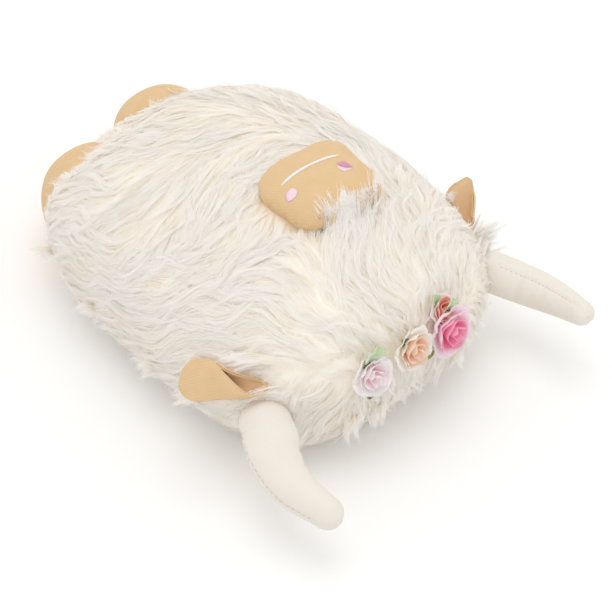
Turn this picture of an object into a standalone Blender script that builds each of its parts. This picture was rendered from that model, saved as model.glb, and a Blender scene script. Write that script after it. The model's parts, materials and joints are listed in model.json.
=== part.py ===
"""A plush highland cow pillow, lying on its back with its face up.

The crown of the head points to -Y, the feet to +Y, the face to +Z, and the
cow's own left side is at -X. The origin is on the flat of the back that it
rests on. All lengths are in metres.
"""
import math

import bmesh
import bpy
from mathutils import Matrix, Vector
from mathutils.bvhtree import BVHTree

# Room left between two pieces that touch, and how far a cutter overruns
GAP = 0.0003
OVERRUN = 0.02

# Body: two panels of long-pile fur, sewn at mid-height, round a stuffing
BODY_LENGTH = 0.356
BODY_WIDTH = 0.268
BODY_TOP = 0.080
BODY_BOTTOM = 0.068
CROWN_Y = -0.198
FUR_THICKNESS = 0.012
REST_DEPTH = 0.0005
BODY_AROUND = 14
BODY_TOP_SQUARENESS = 2.2
BODY_BOTTOM_SQUARENESS = 3.5

# Muzzle: a stuffed velour pad with an embroidered smile and nostrils
MUZZLE_WIDTH = 0.090
MUZZLE_LENGTH = 0.082
MUZZLE_HEIGHT = 0.040
MUZZLE_X = 0.005
MUZZLE_Y = -0.078
MUZZLE_PROUD = 0.004
MUZZLE_SINK = 0.008
MUZZLE_SQUARENESS = 2.3
VELOUR_THICKNESS = 0.0014
THREAD_HEIGHT = 0.0008
FACE_SHIFT = -0.006
SMILE_INSET = 0.0185
SMILE_BOW = 0.0045
SMILE_THREAD_WIDTH = 0.0022
SMILE_Y = -0.0765
NOSTRIL_INSET = 0.0185
NOSTRIL_WIDTH = 0.0085
NOSTRIL_LENGTH = 0.0065
NOSTRIL_Y = -0.0905

# Horns: two fleece panels each, bent towards the crown, on a ball-shaped root
HORN_ROOT_RADIUS = 0.0155
HORN_HALF_WIDTH = 0.0195
HORN_HALF_THICKNESS = 0.0155
HORN_TIP_RADIUS = 0.0115
HORN_LENGTH = 0.098
HORN_BEND = math.radians(43)
HORN_STAND_OFF = 0.0074
FLEECE_THICKNESS = 0.0014
LEFT_HORN_SPLAY = math.radians(31)
LEFT_HORN_DROOP = math.radians(9)
LEFT_HORN_TWIST = math.radians(-5)
RIGHT_HORN_SPLAY = math.radians(21)
RIGHT_HORN_DROOP = math.radians(5)
RIGHT_HORN_TWIST = math.radians(34)

# Ears: a velour back and a lining, folded at a knob-shaped root
EAR_LENGTH = 0.052
EAR_WIDTH = 0.036
EAR_ROOT_RADIUS = 0.0048
EAR_BACK_THICKNESS = 0.0016
EAR_LINING_THICKNESS = 0.0010
EAR_STAND_OFF = 0.0035
LEFT_EAR_SWEEP = math.radians(44)
RIGHT_EAR_SWEEP = math.radians(57)
LEFT_EAR_LEAN = math.radians(50)
RIGHT_EAR_LEAN = math.radians(80)
EAR_ROOT_FOLD = math.radians(100)
EAR_TIP_FOLD = math.radians(22)

# Feet: two stuffed velour lobes at the lower end
FOOT_RADIUS = 0.0475
FOOT_TOE = 0.004
FOOT_X = 0.0475
FOOT_Z = 0.0485
FOOT_HOLE_RADIUS = 0.014

# Roses on the crown: petals, a rolled heart, a leaf and a wire stem each
ROSE_RADIUS = 0.0125
ROSE_HEIGHT = 0.0105
ROSE_LIFT = 0.0022
PETAL_THICKNESS = 0.0007
HEART_RADIUS = 0.0062
HEART_HEIGHT = 0.0098
LEAF_LENGTH = 0.014
LEAF_WIDTH = 0.009
LEAF_START = 0.0035
LEAF_CURL = 0.0020
LEAF_THICKNESS = 0.0005
STEM_RADIUS = 0.0009
STEM_LENGTH = 0.022

# The horn's rings as shares: where its root ball ends and its tip cap starts,
# and along its length where it is widest and where its bend starts and ends
HORN_ROOT_SHARE = 0.25
HORN_CAP_SHARE = 0.70
HORN_SWELL_SHARE = 0.45
BEND_START = 0.25
BEND_END = 0.70
HORN_STEPS = 40

# The ear's gathered root and blunt tip, as shares of its wave and half-width,
# and how far along the ear its back and its lining start
EAR_GATHER_SHARE = 0.03
EAR_TIP_SHARE = 0.18
EAR_BACK_START_SHARE = 0.03
EAR_LINING_START_SHARE = 0.16

# How near its toe the foot starts to lengthen, and how far back its filling
# hole reaches, as shares of its radius
TOE_SHARE = 0.62
FOOT_HOLE_SHARE = 0.8

# How far down the body's length each foot's middle lies, as a share of it
LEFT_FOOT_SHARE = 0.9185
RIGHT_FOOT_SHARE = 1.0028

# The five petals' ruffle, the ridges of the rolled heart and the blunt foot of
# the leaf, as shares of the rose's radius, the heart's and the leaf's half-width
RUFFLE_SHARE = 0.12
RIDGE_SHARE = 0.10
LEAF_FOOT_SHARE = 0.12

# Where the horns and ears are sewn on: sideways, along and upwards, as shares
# of the body's half-width, length and height below the seam
LEFT_HORN_SEAT_SHARES = (-0.821, 0.112, 0.941)
RIGHT_HORN_SEAT_SHARES = (0.748, 0.129, 0.938)
LEFT_EAR_SEAT_SHARES = (-0.843, 0.135, 1.250)
RIGHT_EAR_SEAT_SHARES = (0.830, 0.177, 1.340)

# How the body swells along its length: place along it, half-width, top,
# bottom and sideways shift, as shares of its length, half-width, top,
# bottom and half-width
BODY_SHARES = (
    (0.010, 0.50, 0.40, 0.50, -0.02),
    (0.065, 0.81, 0.72, 0.93, -0.03),
    (0.200, 0.98, 0.99, 1.05, -0.03),
    (0.400, 1.03, 1.07, 1.05, -0.01),
    (0.600, 1.03, 1.08, 1.05, 0.02),
    (0.800, 1.00, 0.96, 1.03, 0.03),
    (0.985, 0.66, 0.36, 0.66, 0.02),
)

# Each rose: sideways place, height, size, and the way its leaf points, as
# shares of the body's half-width, its top, a plain rose and a full turn
ROSE_SHARES = {
    "blush": (-0.370, 0.74, 1.05, 0.22),
    "peach": (-0.110, 0.74, 1.05, 0.17),
    "hot_pink": (0.185, 0.70, 1.05, -0.14),
    "coral": (0.180, 0.95, 0.66, 0.25),
}

# Colours, as the surface's own linear red, green and blue
IVORY_FUR = (0.86, 0.81, 0.72)
TAN_VELOUR = (0.80, 0.58, 0.35)
EAR_TAN = (0.66, 0.42, 0.23)
CREAM_FLEECE = (0.87, 0.82, 0.73)
WHITE_FIBRE = (0.85, 0.85, 0.84)
WHITE_THREAD = (0.93, 0.92, 0.90)
PINK_THREAD = (0.80, 0.45, 0.60)
LEAF_GREEN = (0.52, 0.62, 0.33)
STEM_GREEN = (0.20, 0.28, 0.12)
ROSE_COLOURS = {
    "blush": ((0.93, 0.80, 0.86), (0.90, 0.62, 0.75)),
    "peach": ((0.90, 0.86, 0.80), (0.88, 0.47, 0.28)),
    "hot_pink": ((0.92, 0.74, 0.82), (0.80, 0.12, 0.34)),
    "coral": ((0.90, 0.66, 0.62), (0.80, 0.25, 0.14)),
}


for old in list(bpy.data.objects):
    bpy.data.objects.remove(old)


def new_collection(name):
    made = bpy.data.collections.new(name)
    bpy.context.scene.collection.children.link(made)
    return made


PARTS = new_collection("plush_cow")
CUTTERS = new_collection("cutters")


def new_material(name, colour, roughness=0.9):
    made = bpy.data.materials.new(name)
    made.use_nodes = True
    shader = made.node_tree.nodes["Principled BSDF"]
    shader.inputs["Base Color"].default_value = (*colour, 1.0)
    shader.inputs["Roughness"].default_value = roughness
    shader.inputs["Metallic"].default_value = 0.0
    return made


def add_part(name, mesh, material):
    """A named sub-part in the part's own collection."""
    part = bpy.data.objects.new(name, mesh)
    PARTS.objects.link(part)
    mesh.materials.clear()
    mesh.materials.append(material)
    mesh.shade_smooth()
    return part


def add_guide(name, mesh):
    """A cutter or a guide form, left out of the finished part."""
    guide = bpy.data.objects.new(name, mesh)
    CUTTERS.objects.link(guide)
    guide.hide_render = True
    guide.display_type = "WIRE"
    return guide


def add_empty(name, place):
    empty = bpy.data.objects.new(name, None)
    PARTS.objects.link(empty)
    empty.location = place
    return empty


def hang_on(part, carrier):
    """Parent a part to the empty on its joint, keeping its place."""
    part.parent = carrier
    part.matrix_parent_inverse = Matrix.Translation(carrier.location).inverted()


def finished_mesh(source):
    """The mesh of an object with its modifiers carried out."""
    bpy.context.view_layer.update()
    depsgraph = bpy.context.evaluated_depsgraph_get()
    return bpy.data.meshes.new_from_object(source.evaluated_get(depsgraph))


def ball_mesh(name, around, rings, shape):
    """A sphere of unit radius, each point moved by shape(ring share, turn).

    The ring share runs from 0 at the root pole to 1 at the far pole.
    """
    bm = bmesh.new()
    bmesh.ops.create_uvsphere(bm, u_segments=around, v_segments=rings, radius=1.0)
    for vert in bm.verts:
        along = math.acos(max(-1.0, min(1.0, -vert.co.z))) / math.pi
        turn = math.atan2(vert.co.y, vert.co.x)
        vert.co = shape(along, turn)
    bm.normal_update()
    bmesh.ops.recalc_face_normals(bm, faces=bm.faces)
    mesh = bpy.data.meshes.new(name)
    bm.to_mesh(mesh)
    bm.free()
    return mesh


def rounded(angle, squareness):
    """Cosine and sine of an angle, swollen towards a rounded square."""
    c = math.cos(angle)
    s = math.sin(angle)
    power = 2.0 / squareness
    return (
        math.copysign(abs(c) ** power, c),
        math.copysign(abs(s) ** power, s),
    )


def displaced(source, name, distance):
    """A guide copy of a form, grown or shrunk along its normals."""
    copy = add_guide(name, finished_mesh(source))
    grow = copy.modifiers.new("grow", "DISPLACE")
    grow.strength = distance
    grow.mid_level = 0.0
    return copy


def cut(part, cutter, operation="DIFFERENCE"):
    """Cut a part with a guide, and keep the cut as a modifier."""
    boolean = part.modifiers.new(cutter.name, "BOOLEAN")
    boolean.operation = operation
    boolean.object = cutter
    boolean.solver = "EXACT"
    boolean.use_self = True


def skin(part, thickness):
    """Give a form a skin of even thickness inside its surface."""
    solid = part.modifiers.new("skin", "SOLIDIFY")
    solid.thickness = thickness
    solid.offset = -1.0


def block(name, low, high):
    """A box-shaped guide between two corners."""
    bm = bmesh.new()
    bmesh.ops.create_cube(bm, size=1.0)
    low = Vector(low)
    high = Vector(high)
    for vert in bm.verts:
        vert.co = Vector(
            tuple(low[i] + (vert.co[i] + 0.5) * (high[i] - low[i]) for i in range(3))
        )
    mesh = bpy.data.meshes.new(name)
    bm.to_mesh(mesh)
    bm.free()
    return add_guide(name, mesh)


def round_ball(name, centre, radius, around, rings):
    """A ball whose corners lie on the given radius."""

    def shape(along, turn):
        polar = math.pi * along
        return centre + radius * Vector(
            (
                math.sin(polar) * math.cos(turn),
                math.sin(polar) * math.sin(turn),
                -math.cos(polar),
            )
        )

    return add_guide(name, ball_mesh(name, around, rings, shape))


def seat_ball(name, centre, radius, around, rings):
    """A ball-shaped cutter whose flats clear a ball of the given radius."""
    flats = math.cos(math.pi / around) * math.cos(math.pi / (2 * rings))
    return round_ball(name, centre, (radius + GAP) / flats, around, rings)


# Body form, the outside of the fur as it lies
def body_shape(along, turn):
    rows = len(BODY_SHARES)
    place = along * (rows + 1)
    index = int(round(place)) - 1
    first = BODY_SHARES[0]
    last = BODY_SHARES[-1]
    if index < 0:
        row = (-first[0], 0.0, first[2], first[3], first[4])
    elif index >= rows:
        row = (2.0 - last[0], 0.0, last[2], last[3], last[4])
    else:
        row = BODY_SHARES[index]
    share_y, share_width, share_top, share_bottom, share_shift = row
    squareness = BODY_TOP_SQUARENESS if turn > 0.0 else BODY_BOTTOM_SQUARENESS
    across, up = rounded(turn, squareness)
    if share_width == 0.0:
        up = 0.0
        across = 0.0
    rise = up * (BODY_TOP * share_top if up > 0.0 else BODY_BOTTOM * share_bottom)
    return Vector(
        (
            BODY_WIDTH / 2 * (share_width * across + share_shift),
            CROWN_Y + BODY_LENGTH * share_y,
            BODY_BOTTOM + rise,
        )
    )


body_cage = add_guide(
    "body_cage", ball_mesh("body_cage", BODY_AROUND, len(BODY_SHARES) + 1, body_shape)
)
swell = body_cage.modifiers.new("swell", "SUBSURF")
swell.levels = 1
swell.render_levels = 1
body_form = add_guide("body_form", finished_mesh(body_cage))
lowest = min(vert.co.z for vert in body_form.data.vertices)
for vert in body_form.data.vertices:
    vert.co.z -= lowest + REST_DEPTH

body_tree = BVHTree.FromObject(body_form, bpy.context.evaluated_depsgraph_get())


def nearest_surface(shares):
    """The point of the body form nearest to a place given in shares."""
    place = Vector(
        (
            shares[0] * BODY_WIDTH / 2,
            CROWN_Y + shares[1] * BODY_LENGTH,
            shares[2] * BODY_BOTTOM,
        )
    )
    point, normal, _, _ = body_tree.find_nearest(place)
    return point, normal


def surface_at(start, towards):
    """The point of the body form that a straight line first meets."""
    towards = Vector(towards).normalized()
    start = Vector(start) - towards * BODY_LENGTH
    point, normal, _, _ = body_tree.ray_cast(start, towards)
    return point, normal


def body_panel(name, above, material):
    """One fur panel: the form's skin on one side of the seam, cut to rest flat."""
    panel = add_part(name, body_form.data.copy(), material)
    skin(panel, FUR_THICKNESS)
    reach = BODY_LENGTH
    if above:
        keep = block("front_side", (-reach, -reach, SEAM_Z + GAP / 2), (reach, reach, reach))
    else:
        keep = block("back_side", (-reach, -reach, 0.0), (reach, reach, SEAM_Z - GAP / 2))
    cut(panel, keep, "INTERSECT")
    return panel


SEAM_Z = BODY_BOTTOM
fur = new_material("ivory_fur", IVORY_FUR, 0.95)
fibre = new_material("stuffing_fibre", WHITE_FIBRE, 1.0)
front_panel = body_panel("body_front_panel", True, fur)
back_panel = body_panel("body_back_panel", False, fur)
stuffing = add_part(
    "body_stuffing",
    finished_mesh(displaced(body_form, "body_core", -(FUR_THICKNESS + GAP))),
    fibre,
)
body_pieces = (front_panel, back_panel, stuffing)


# Muzzle: cover, stuffing and embroidery, sunk a little into the pile
muzzle_top, _ = surface_at((MUZZLE_X, MUZZLE_Y, 0.0), (0.0, 0.0, -1.0))
muzzle_centre = muzzle_top + Vector((0.0, 0.0, MUZZLE_PROUD))


def muzzle_shape(along, turn):
    polar = math.pi * along
    across, up = rounded(turn, MUZZLE_SQUARENESS)
    belly = math.sin(polar) ** (2.0 / MUZZLE_SQUARENESS)
    return muzzle_centre + Vector(
        (
            MUZZLE_WIDTH / 2 * belly * across,
            MUZZLE_LENGTH / 2 * belly * up,
            -MUZZLE_HEIGHT / 2 * math.cos(polar),
        )
    )


muzzle_form = add_guide("muzzle_form", ball_mesh("muzzle_form", 20, 10, muzzle_shape))
muzzle_floor = displaced(body_form, "muzzle_floor", -MUZZLE_SINK)
velour = new_material("tan_velour", TAN_VELOUR, 0.85)
muzzle_cover = add_part("muzzle_cover", muzzle_form.data.copy(), velour)
skin(muzzle_cover, VELOUR_THICKNESS)
cut(muzzle_cover, muzzle_floor)
muzzle_stuffing = add_part(
    "muzzle_stuffing",
    finished_mesh(displaced(muzzle_form, "muzzle_core", -(VELOUR_THICKNESS + GAP))),
    fibre,
)
cut(muzzle_stuffing, muzzle_floor)
recess = displaced(muzzle_form, "muzzle_recess", GAP)
recess_floor = displaced(body_form, "recess_floor", -(MUZZLE_SINK + GAP))
cut(recess, recess_floor)
cut(front_panel, recess)


def prism(name, outline):
    """An upright prism over the muzzle, from an outline in plan."""
    curve = bpy.data.curves.new(name, "CURVE")
    curve.dimensions = "2D"
    curve.fill_mode = "BOTH"
    curve.extrude = MUZZLE_HEIGHT / 2
    spline = curve.splines.new("POLY")
    spline.points.add(len(outline) - 1)
    for point, (x, y) in zip(spline.points, outline):
        point.co = (x, y, 0.0, 1.0)
    spline.use_cyclic_u = True
    flat = bpy.data.objects.new(name, curve)
    flat.location = (0.0, 0.0, muzzle_centre.z + MUZZLE_HEIGHT / 2 + GAP)
    CUTTERS.objects.link(flat)
    mesh = finished_mesh(flat)
    made = add_guide(name + "_prism", mesh)
    made.matrix_world = flat.matrix_world
    bpy.data.objects.remove(flat)
    bm = bmesh.new()
    bm.from_mesh(mesh)
    bmesh.ops.remove_doubles(bm, verts=bm.verts, dist=GAP / 10)
    bm.normal_update()
    bmesh.ops.recalc_face_normals(bm, faces=bm.faces)
    bm.to_mesh(mesh)
    bm.free()
    return made


def embroider(name, outline, material):
    """A raised patch of thread that follows the muzzle inside an outline."""
    layer = displaced(muzzle_form, name + "_layer", GAP + THREAD_HEIGHT)
    patch = add_part(name, finished_mesh(layer), material)
    skin(patch, THREAD_HEIGHT)
    cut(patch, prism(name, outline), "INTERSECT")
    return patch


face_x = MUZZLE_X + FACE_SHIFT


def smile_outline():
    """A thin crescent whose ends turn towards the crown."""
    steps = 12
    width = MUZZLE_WIDTH - 2 * SMILE_INSET
    radius = (width**2 / 4 + SMILE_BOW**2) / (2 * SMILE_BOW)
    half = math.asin(width / 2 / radius)
    centre_y = SMILE_Y + SMILE_BOW / 2 - radius
    outline = []
    for side in (1, -1):
        edge = radius + side * SMILE_THREAD_WIDTH / 2
        for step in range(steps + 1):
            angle = side * half * (1 - 2 * step / steps)
            outline.append(
                (face_x + edge * math.sin(angle), centre_y + edge * math.cos(angle))
            )
    return outline


def nostril_outline(side):
    steps = 14
    middle = face_x + side * (MUZZLE_WIDTH / 2 - NOSTRIL_INSET)
    return [
        (
            middle + NOSTRIL_WIDTH / 2 * math.cos(math.tau * step / steps),
            NOSTRIL_Y + NOSTRIL_LENGTH / 2 * math.sin(math.tau * step / steps),
        )
        for step in range(steps)
    ]


white_thread = new_material("white_thread", WHITE_THREAD, 0.6)
pink_thread = new_material("pink_thread", PINK_THREAD, 0.6)
embroider("smile_embroidery", smile_outline(), white_thread)
embroider("nostril_left", nostril_outline(-1), pink_thread)
embroider("nostril_right", nostril_outline(1), pink_thread)


# Horns
fleece = new_material("cream_fleece", CREAM_FLEECE, 0.9)


def horn_line(share):
    """A point of the horn's middle line and its heading, from the root ball."""
    x = 0.0
    y = 0.0
    heading = 0.0
    stride = share / HORN_STEPS
    for step in range(HORN_STEPS):
        here = (step + 0.5) * stride
        bent = max(0.0, min(1.0, (here - BEND_START) / (BEND_END - BEND_START)))
        heading = -HORN_BEND * bent
        x += stride * HORN_LENGTH * math.sin(heading)
        y -= stride * HORN_LENGTH * math.cos(heading)
    return Vector((x, y, 0.0)), heading


def horn_shape(along, turn):
    """A ball about the root, then a flattened taper along the horn's line."""
    if along <= HORN_ROOT_SHARE:
        polar = along / HORN_ROOT_SHARE * math.pi / 2
        out = math.sin(polar)
        return HORN_ROOT_RADIUS * Vector(
            (out * math.cos(turn), math.cos(polar), out * math.sin(turn))
        )
    share = (along - HORN_ROOT_SHARE) / (1.0 - HORN_ROOT_SHARE)
    cap = max(0.0, (share - HORN_CAP_SHARE) / (1.0 - HORN_CAP_SHARE))
    end = 1.0 - HORN_TIP_RADIUS / HORN_LENGTH
    if cap > 0.0:
        middle, heading = horn_line(end)
        angle = cap * math.pi / 2
        wide = HORN_TIP_RADIUS * math.cos(angle)
        thick = wide
        ahead = Vector((math.sin(heading), -math.cos(heading), 0.0))
        middle = middle + ahead * HORN_TIP_RADIUS * math.sin(angle)
    else:
        run = share / HORN_CAP_SHARE
        middle, heading = horn_line(run * end)
        swelling = math.sin(min(1.0, run / HORN_SWELL_SHARE) * math.pi / 2)
        taper = max(0.0, (run - HORN_SWELL_SHARE) / (1.0 - HORN_SWELL_SHARE)) ** 1.4
        wide_base = HORN_ROOT_RADIUS + (HORN_HALF_WIDTH - HORN_ROOT_RADIUS) * swelling
        thick_base = (
            HORN_ROOT_RADIUS + (HORN_HALF_THICKNESS - HORN_ROOT_RADIUS) * swelling
        )
        wide = wide_base + (HORN_TIP_RADIUS - wide_base) * taper
        thick = thick_base + (HORN_TIP_RADIUS - thick_base) * taper
    side = Vector((math.cos(heading), math.sin(heading), 0.0))
    return middle + wide * math.cos(turn) * side + Vector((0.0, 0.0, thick * math.sin(turn)))


def build_horn(side_name, side, seat_shares, splay, droop, twist):
    """One horn: two fleece panels, their stuffing, and its seat in the body."""
    surface, normal = nearest_surface(seat_shares)
    centre = surface + normal * HORN_STAND_OFF
    pivot = add_empty("horn_" + side_name + "_joint", centre)
    mirror = Matrix.Diagonal((side, 1.0, 1.0, 1.0))
    place = (
        Matrix.Translation(centre)
        @ mirror
        @ Matrix.Rotation(splay, 4, "Z")
        @ Matrix.Rotation(droop, 4, "X")
        @ Matrix.Rotation(twist, 4, "Y")
    )
    mesh = ball_mesh("horn_" + side_name, 12, 12, horn_shape)
    mesh.transform(place)
    if side < 0:
        mesh.flip_normals()
    form = add_guide("horn_" + side_name + "_form", mesh)
    reach = HORN_LENGTH + OVERRUN
    for panel_name, low, high in (
        ("front", GAP / 2, reach),
        ("back", -reach, -GAP / 2),
    ):
        panel = add_part(
            "horn_" + side_name + "_" + panel_name + "_panel", mesh.copy(), fleece
        )
        skin(panel, FLEECE_THICKNESS)
        keep = block(
            panel.name + "_side", (-reach, -reach, low), (reach, reach, high)
        )
        keep.data.transform(place)
        if side < 0:
            keep.data.flip_normals()
        cut(panel, keep, "INTERSECT")
        hang_on(panel, pivot)
    core = displaced(form, "horn_" + side_name + "_core", -(FLEECE_THICKNESS + GAP))
    filling = add_part("horn_" + side_name + "_stuffing", finished_mesh(core), fibre)
    hang_on(filling, pivot)
    seat = seat_ball("horn_" + side_name + "_seat", centre, HORN_ROOT_RADIUS, 16, 8)
    for piece in body_pieces:
        cut(piece, seat)


build_horn(
    "left", -1, LEFT_HORN_SEAT_SHARES, LEFT_HORN_SPLAY, LEFT_HORN_DROOP, LEFT_HORN_TWIST
)
build_horn(
    "right", 1, RIGHT_HORN_SEAT_SHARES, RIGHT_HORN_SPLAY, RIGHT_HORN_DROOP, RIGHT_HORN_TWIST
)


# Ears
ear_cloth = new_material("ear_velour", TAN_VELOUR, 0.85)
lining_cloth = new_material("ear_lining", EAR_TAN, 0.85)
EAR_STEPS_ALONG = 7
EAR_STEPS_ACROSS = 6


def ear_half_width(share):
    """A leaf: narrow where it is gathered at the root, wide, then a blunt point."""
    along = EAR_GATHER_SHARE + (1.0 - EAR_GATHER_SHARE) * share**1.5
    swell_share = math.sin(math.pi * min(along, 1.0)) ** 0.6
    return EAR_WIDTH / 2 * max(swell_share, EAR_TIP_SHARE)


def ear_sheet(name, lift, start):
    """An open leaf, rolled about its length so that its edges stand up."""
    bm = bmesh.new()
    bmesh.ops.create_grid(
        bm, x_segments=EAR_STEPS_ALONG, y_segments=EAR_STEPS_ACROSS, size=0.5
    )
    for vert in bm.verts:
        share = start + (1.0 - start) * (vert.co.x + 0.5)
        across = 2 * vert.co.y
        half = ear_half_width(share)
        fold = EAR_ROOT_FOLD + (EAR_TIP_FOLD - EAR_ROOT_FOLD) * share**0.6
        radius = half / fold
        angle = across * fold
        inner = radius - lift
        vert.co = Vector(
            (
                share * EAR_LENGTH,
                inner * math.sin(angle),
                radius - inner * math.cos(angle),
            )
        )
    bm.normal_update()
    bmesh.ops.recalc_face_normals(bm, faces=bm.faces)
    mesh = bpy.data.meshes.new(name)
    bm.to_mesh(mesh)
    bm.free()
    return mesh


def build_ear(side_name, side, seat_shares, sweep, lean):
    """One ear: its back with the knob that is sewn in, and its lining."""
    surface, normal = nearest_surface(seat_shares)
    centre = surface + normal * EAR_STAND_OFF
    pivot = add_empty("ear_" + side_name + "_joint", centre)
    ahead = Vector((side * math.cos(sweep), math.sin(sweep), 0.0))
    out = Vector((side * math.sin(sweep), -math.cos(sweep), 0.0))
    face = out * math.cos(lean) + Vector((0.0, 0.0, math.sin(lean)))
    across = face.cross(ahead)
    place = Matrix.Translation(centre) @ Matrix((ahead, across, face)).transposed().to_4x4()
    back = add_part(
        "ear_" + side_name + "_back", ear_sheet("ear_back", 0.0, EAR_BACK_START_SHARE), ear_cloth
    )
    back.data.transform(place)
    skin(back, EAR_BACK_THICKNESS)
    back.modifiers["skin"].offset = 0.0
    knob = round_ball("ear_" + side_name + "_knob", centre, EAR_ROOT_RADIUS, 10, 6)
    cut(back, knob, "UNION")
    hang_on(back, pivot)
    lift = EAR_BACK_THICKNESS / 2 + GAP + EAR_LINING_THICKNESS / 2
    lining = add_part(
        "ear_" + side_name + "_lining",
        ear_sheet("ear_lining", lift, EAR_LINING_START_SHARE),
        lining_cloth,
    )
    lining.data.transform(place)
    skin(lining, EAR_LINING_THICKNESS)
    lining.modifiers["skin"].offset = 0.0
    hang_on(lining, pivot)
    seat = seat_ball("ear_" + side_name + "_seat", centre, EAR_ROOT_RADIUS, 12, 6)
    for piece in body_pieces:
        cut(piece, seat)


build_ear("left", -1, LEFT_EAR_SEAT_SHARES, LEFT_EAR_SWEEP, LEFT_EAR_LEAN)
build_ear("right", 1, RIGHT_EAR_SEAT_SHARES, RIGHT_EAR_SWEEP, RIGHT_EAR_LEAN)


# Feet
FOOT_AROUND = 16
FOOT_RINGS = 10


def build_foot(side_name, side, place_share):
    """One foot: a velour cover drawn in at its root, and its stuffing."""
    centre = Vector((side * FOOT_X, CROWN_Y + BODY_LENGTH * place_share, FOOT_Z))
    pivot = add_empty("foot_" + side_name + "_joint", centre)

    def shape(along, turn):
        polar = math.pi * along
        toe = max(0.0, (-math.cos(polar) - TOE_SHARE) / (1.0 - TOE_SHARE)) ** 2
        return centre + (FOOT_RADIUS + FOOT_TOE * toe) * Vector(
            (
                math.sin(polar) * math.cos(turn),
                -math.cos(polar),
                math.sin(polar) * math.sin(turn),
            )
        )

    mesh = ball_mesh("foot_" + side_name, FOOT_AROUND, FOOT_RINGS, shape)
    form = add_guide("foot_" + side_name + "_form", mesh)
    cover = add_part("foot_" + side_name + "_cover", mesh.copy(), velour)
    skin(cover, VELOUR_THICKNESS)
    hole = block(
        "foot_" + side_name + "_hole",
        centre + Vector((-FOOT_HOLE_RADIUS, -FOOT_RADIUS - OVERRUN, -FOOT_HOLE_RADIUS)),
        centre + Vector((FOOT_HOLE_RADIUS, -FOOT_RADIUS * FOOT_HOLE_SHARE, FOOT_HOLE_RADIUS)),
    )
    cut(cover, hole)
    hang_on(cover, pivot)
    core = displaced(form, "foot_" + side_name + "_core", -(VELOUR_THICKNESS + GAP))
    filling = add_part("foot_" + side_name + "_stuffing", finished_mesh(core), fibre)
    hang_on(filling, pivot)
    seat = seat_ball("foot_" + side_name + "_seat", centre, FOOT_RADIUS, 20, 10)
    for piece in body_pieces:
        cut(piece, seat)


build_foot("left", -1, LEFT_FOOT_SHARE)
build_foot("right", 1, RIGHT_FOOT_SHARE)


# Roses
leaf_green = new_material("leaf_green", LEAF_GREEN, 0.7)
stem_green = new_material("stem_green", STEM_GREEN, 0.7)


def tube(name, radius, low, high, sides, matrix):
    """A round cutter or stem along its own Z."""
    bm = bmesh.new()
    bmesh.ops.create_cone(
        bm,
        cap_ends=True,
        segments=sides,
        radius1=radius,
        radius2=radius,
        depth=high - low,
    )
    bmesh.ops.translate(bm, verts=bm.verts, vec=(0.0, 0.0, (low + high) / 2))
    mesh = bpy.data.meshes.new(name)
    bm.to_mesh(mesh)
    bm.free()
    mesh.transform(matrix)
    return mesh


def petal_sheet(name, size):
    """A ruffled cup of five petals, open at its top and its stem hole."""
    bm = bmesh.new()
    bmesh.ops.create_grid(bm, x_segments=20, y_segments=4, size=0.5)
    for vert in bm.verts:
        turn = math.tau * (vert.co.x + 0.5)
        share = vert.co.y + 0.5
        ruffle = 1.0 + RUFFLE_SHARE * share * math.cos(5 * turn)
        start = STEM_RADIUS + GAP + PETAL_THICKNESS
        radius = start + (size * ROSE_RADIUS - start) * share**0.7 * ruffle
        height = size * ROSE_HEIGHT * share**1.7 * ruffle
        vert.co = Vector((radius * math.cos(turn), radius * math.sin(turn), height))
    bmesh.ops.remove_doubles(bm, verts=bm.verts, dist=GAP / 10)
    bm.normal_update()
    bmesh.ops.recalc_face_normals(bm, faces=bm.faces)
    mesh = bpy.data.meshes.new(name)
    bm.to_mesh(mesh)
    bm.free()
    return mesh


def leaf_sheet(name, size):
    """A pointed leaf, a little keeled along its vein, on the fur."""
    bm = bmesh.new()
    bmesh.ops.create_grid(bm, x_segments=8, y_segments=4, size=0.5)
    for vert in bm.verts:
        share = vert.co.x + 0.5
        half = LEAF_WIDTH / 2 * (LEAF_FOOT_SHARE + math.sin(math.pi * share**0.8))
        across = 2 * vert.co.y
        vert.co = Vector(
            (
                LEAF_START + size * LEAF_LENGTH * share,
                size * half * across,
                LEAF_CURL * across**2 * math.sin(math.pi * share),
            )
        )
    bm.normal_update()
    bmesh.ops.recalc_face_normals(bm, faces=bm.faces)
    mesh = bpy.data.meshes.new(name)
    bm.to_mesh(mesh)
    bm.free()
    return mesh


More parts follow.
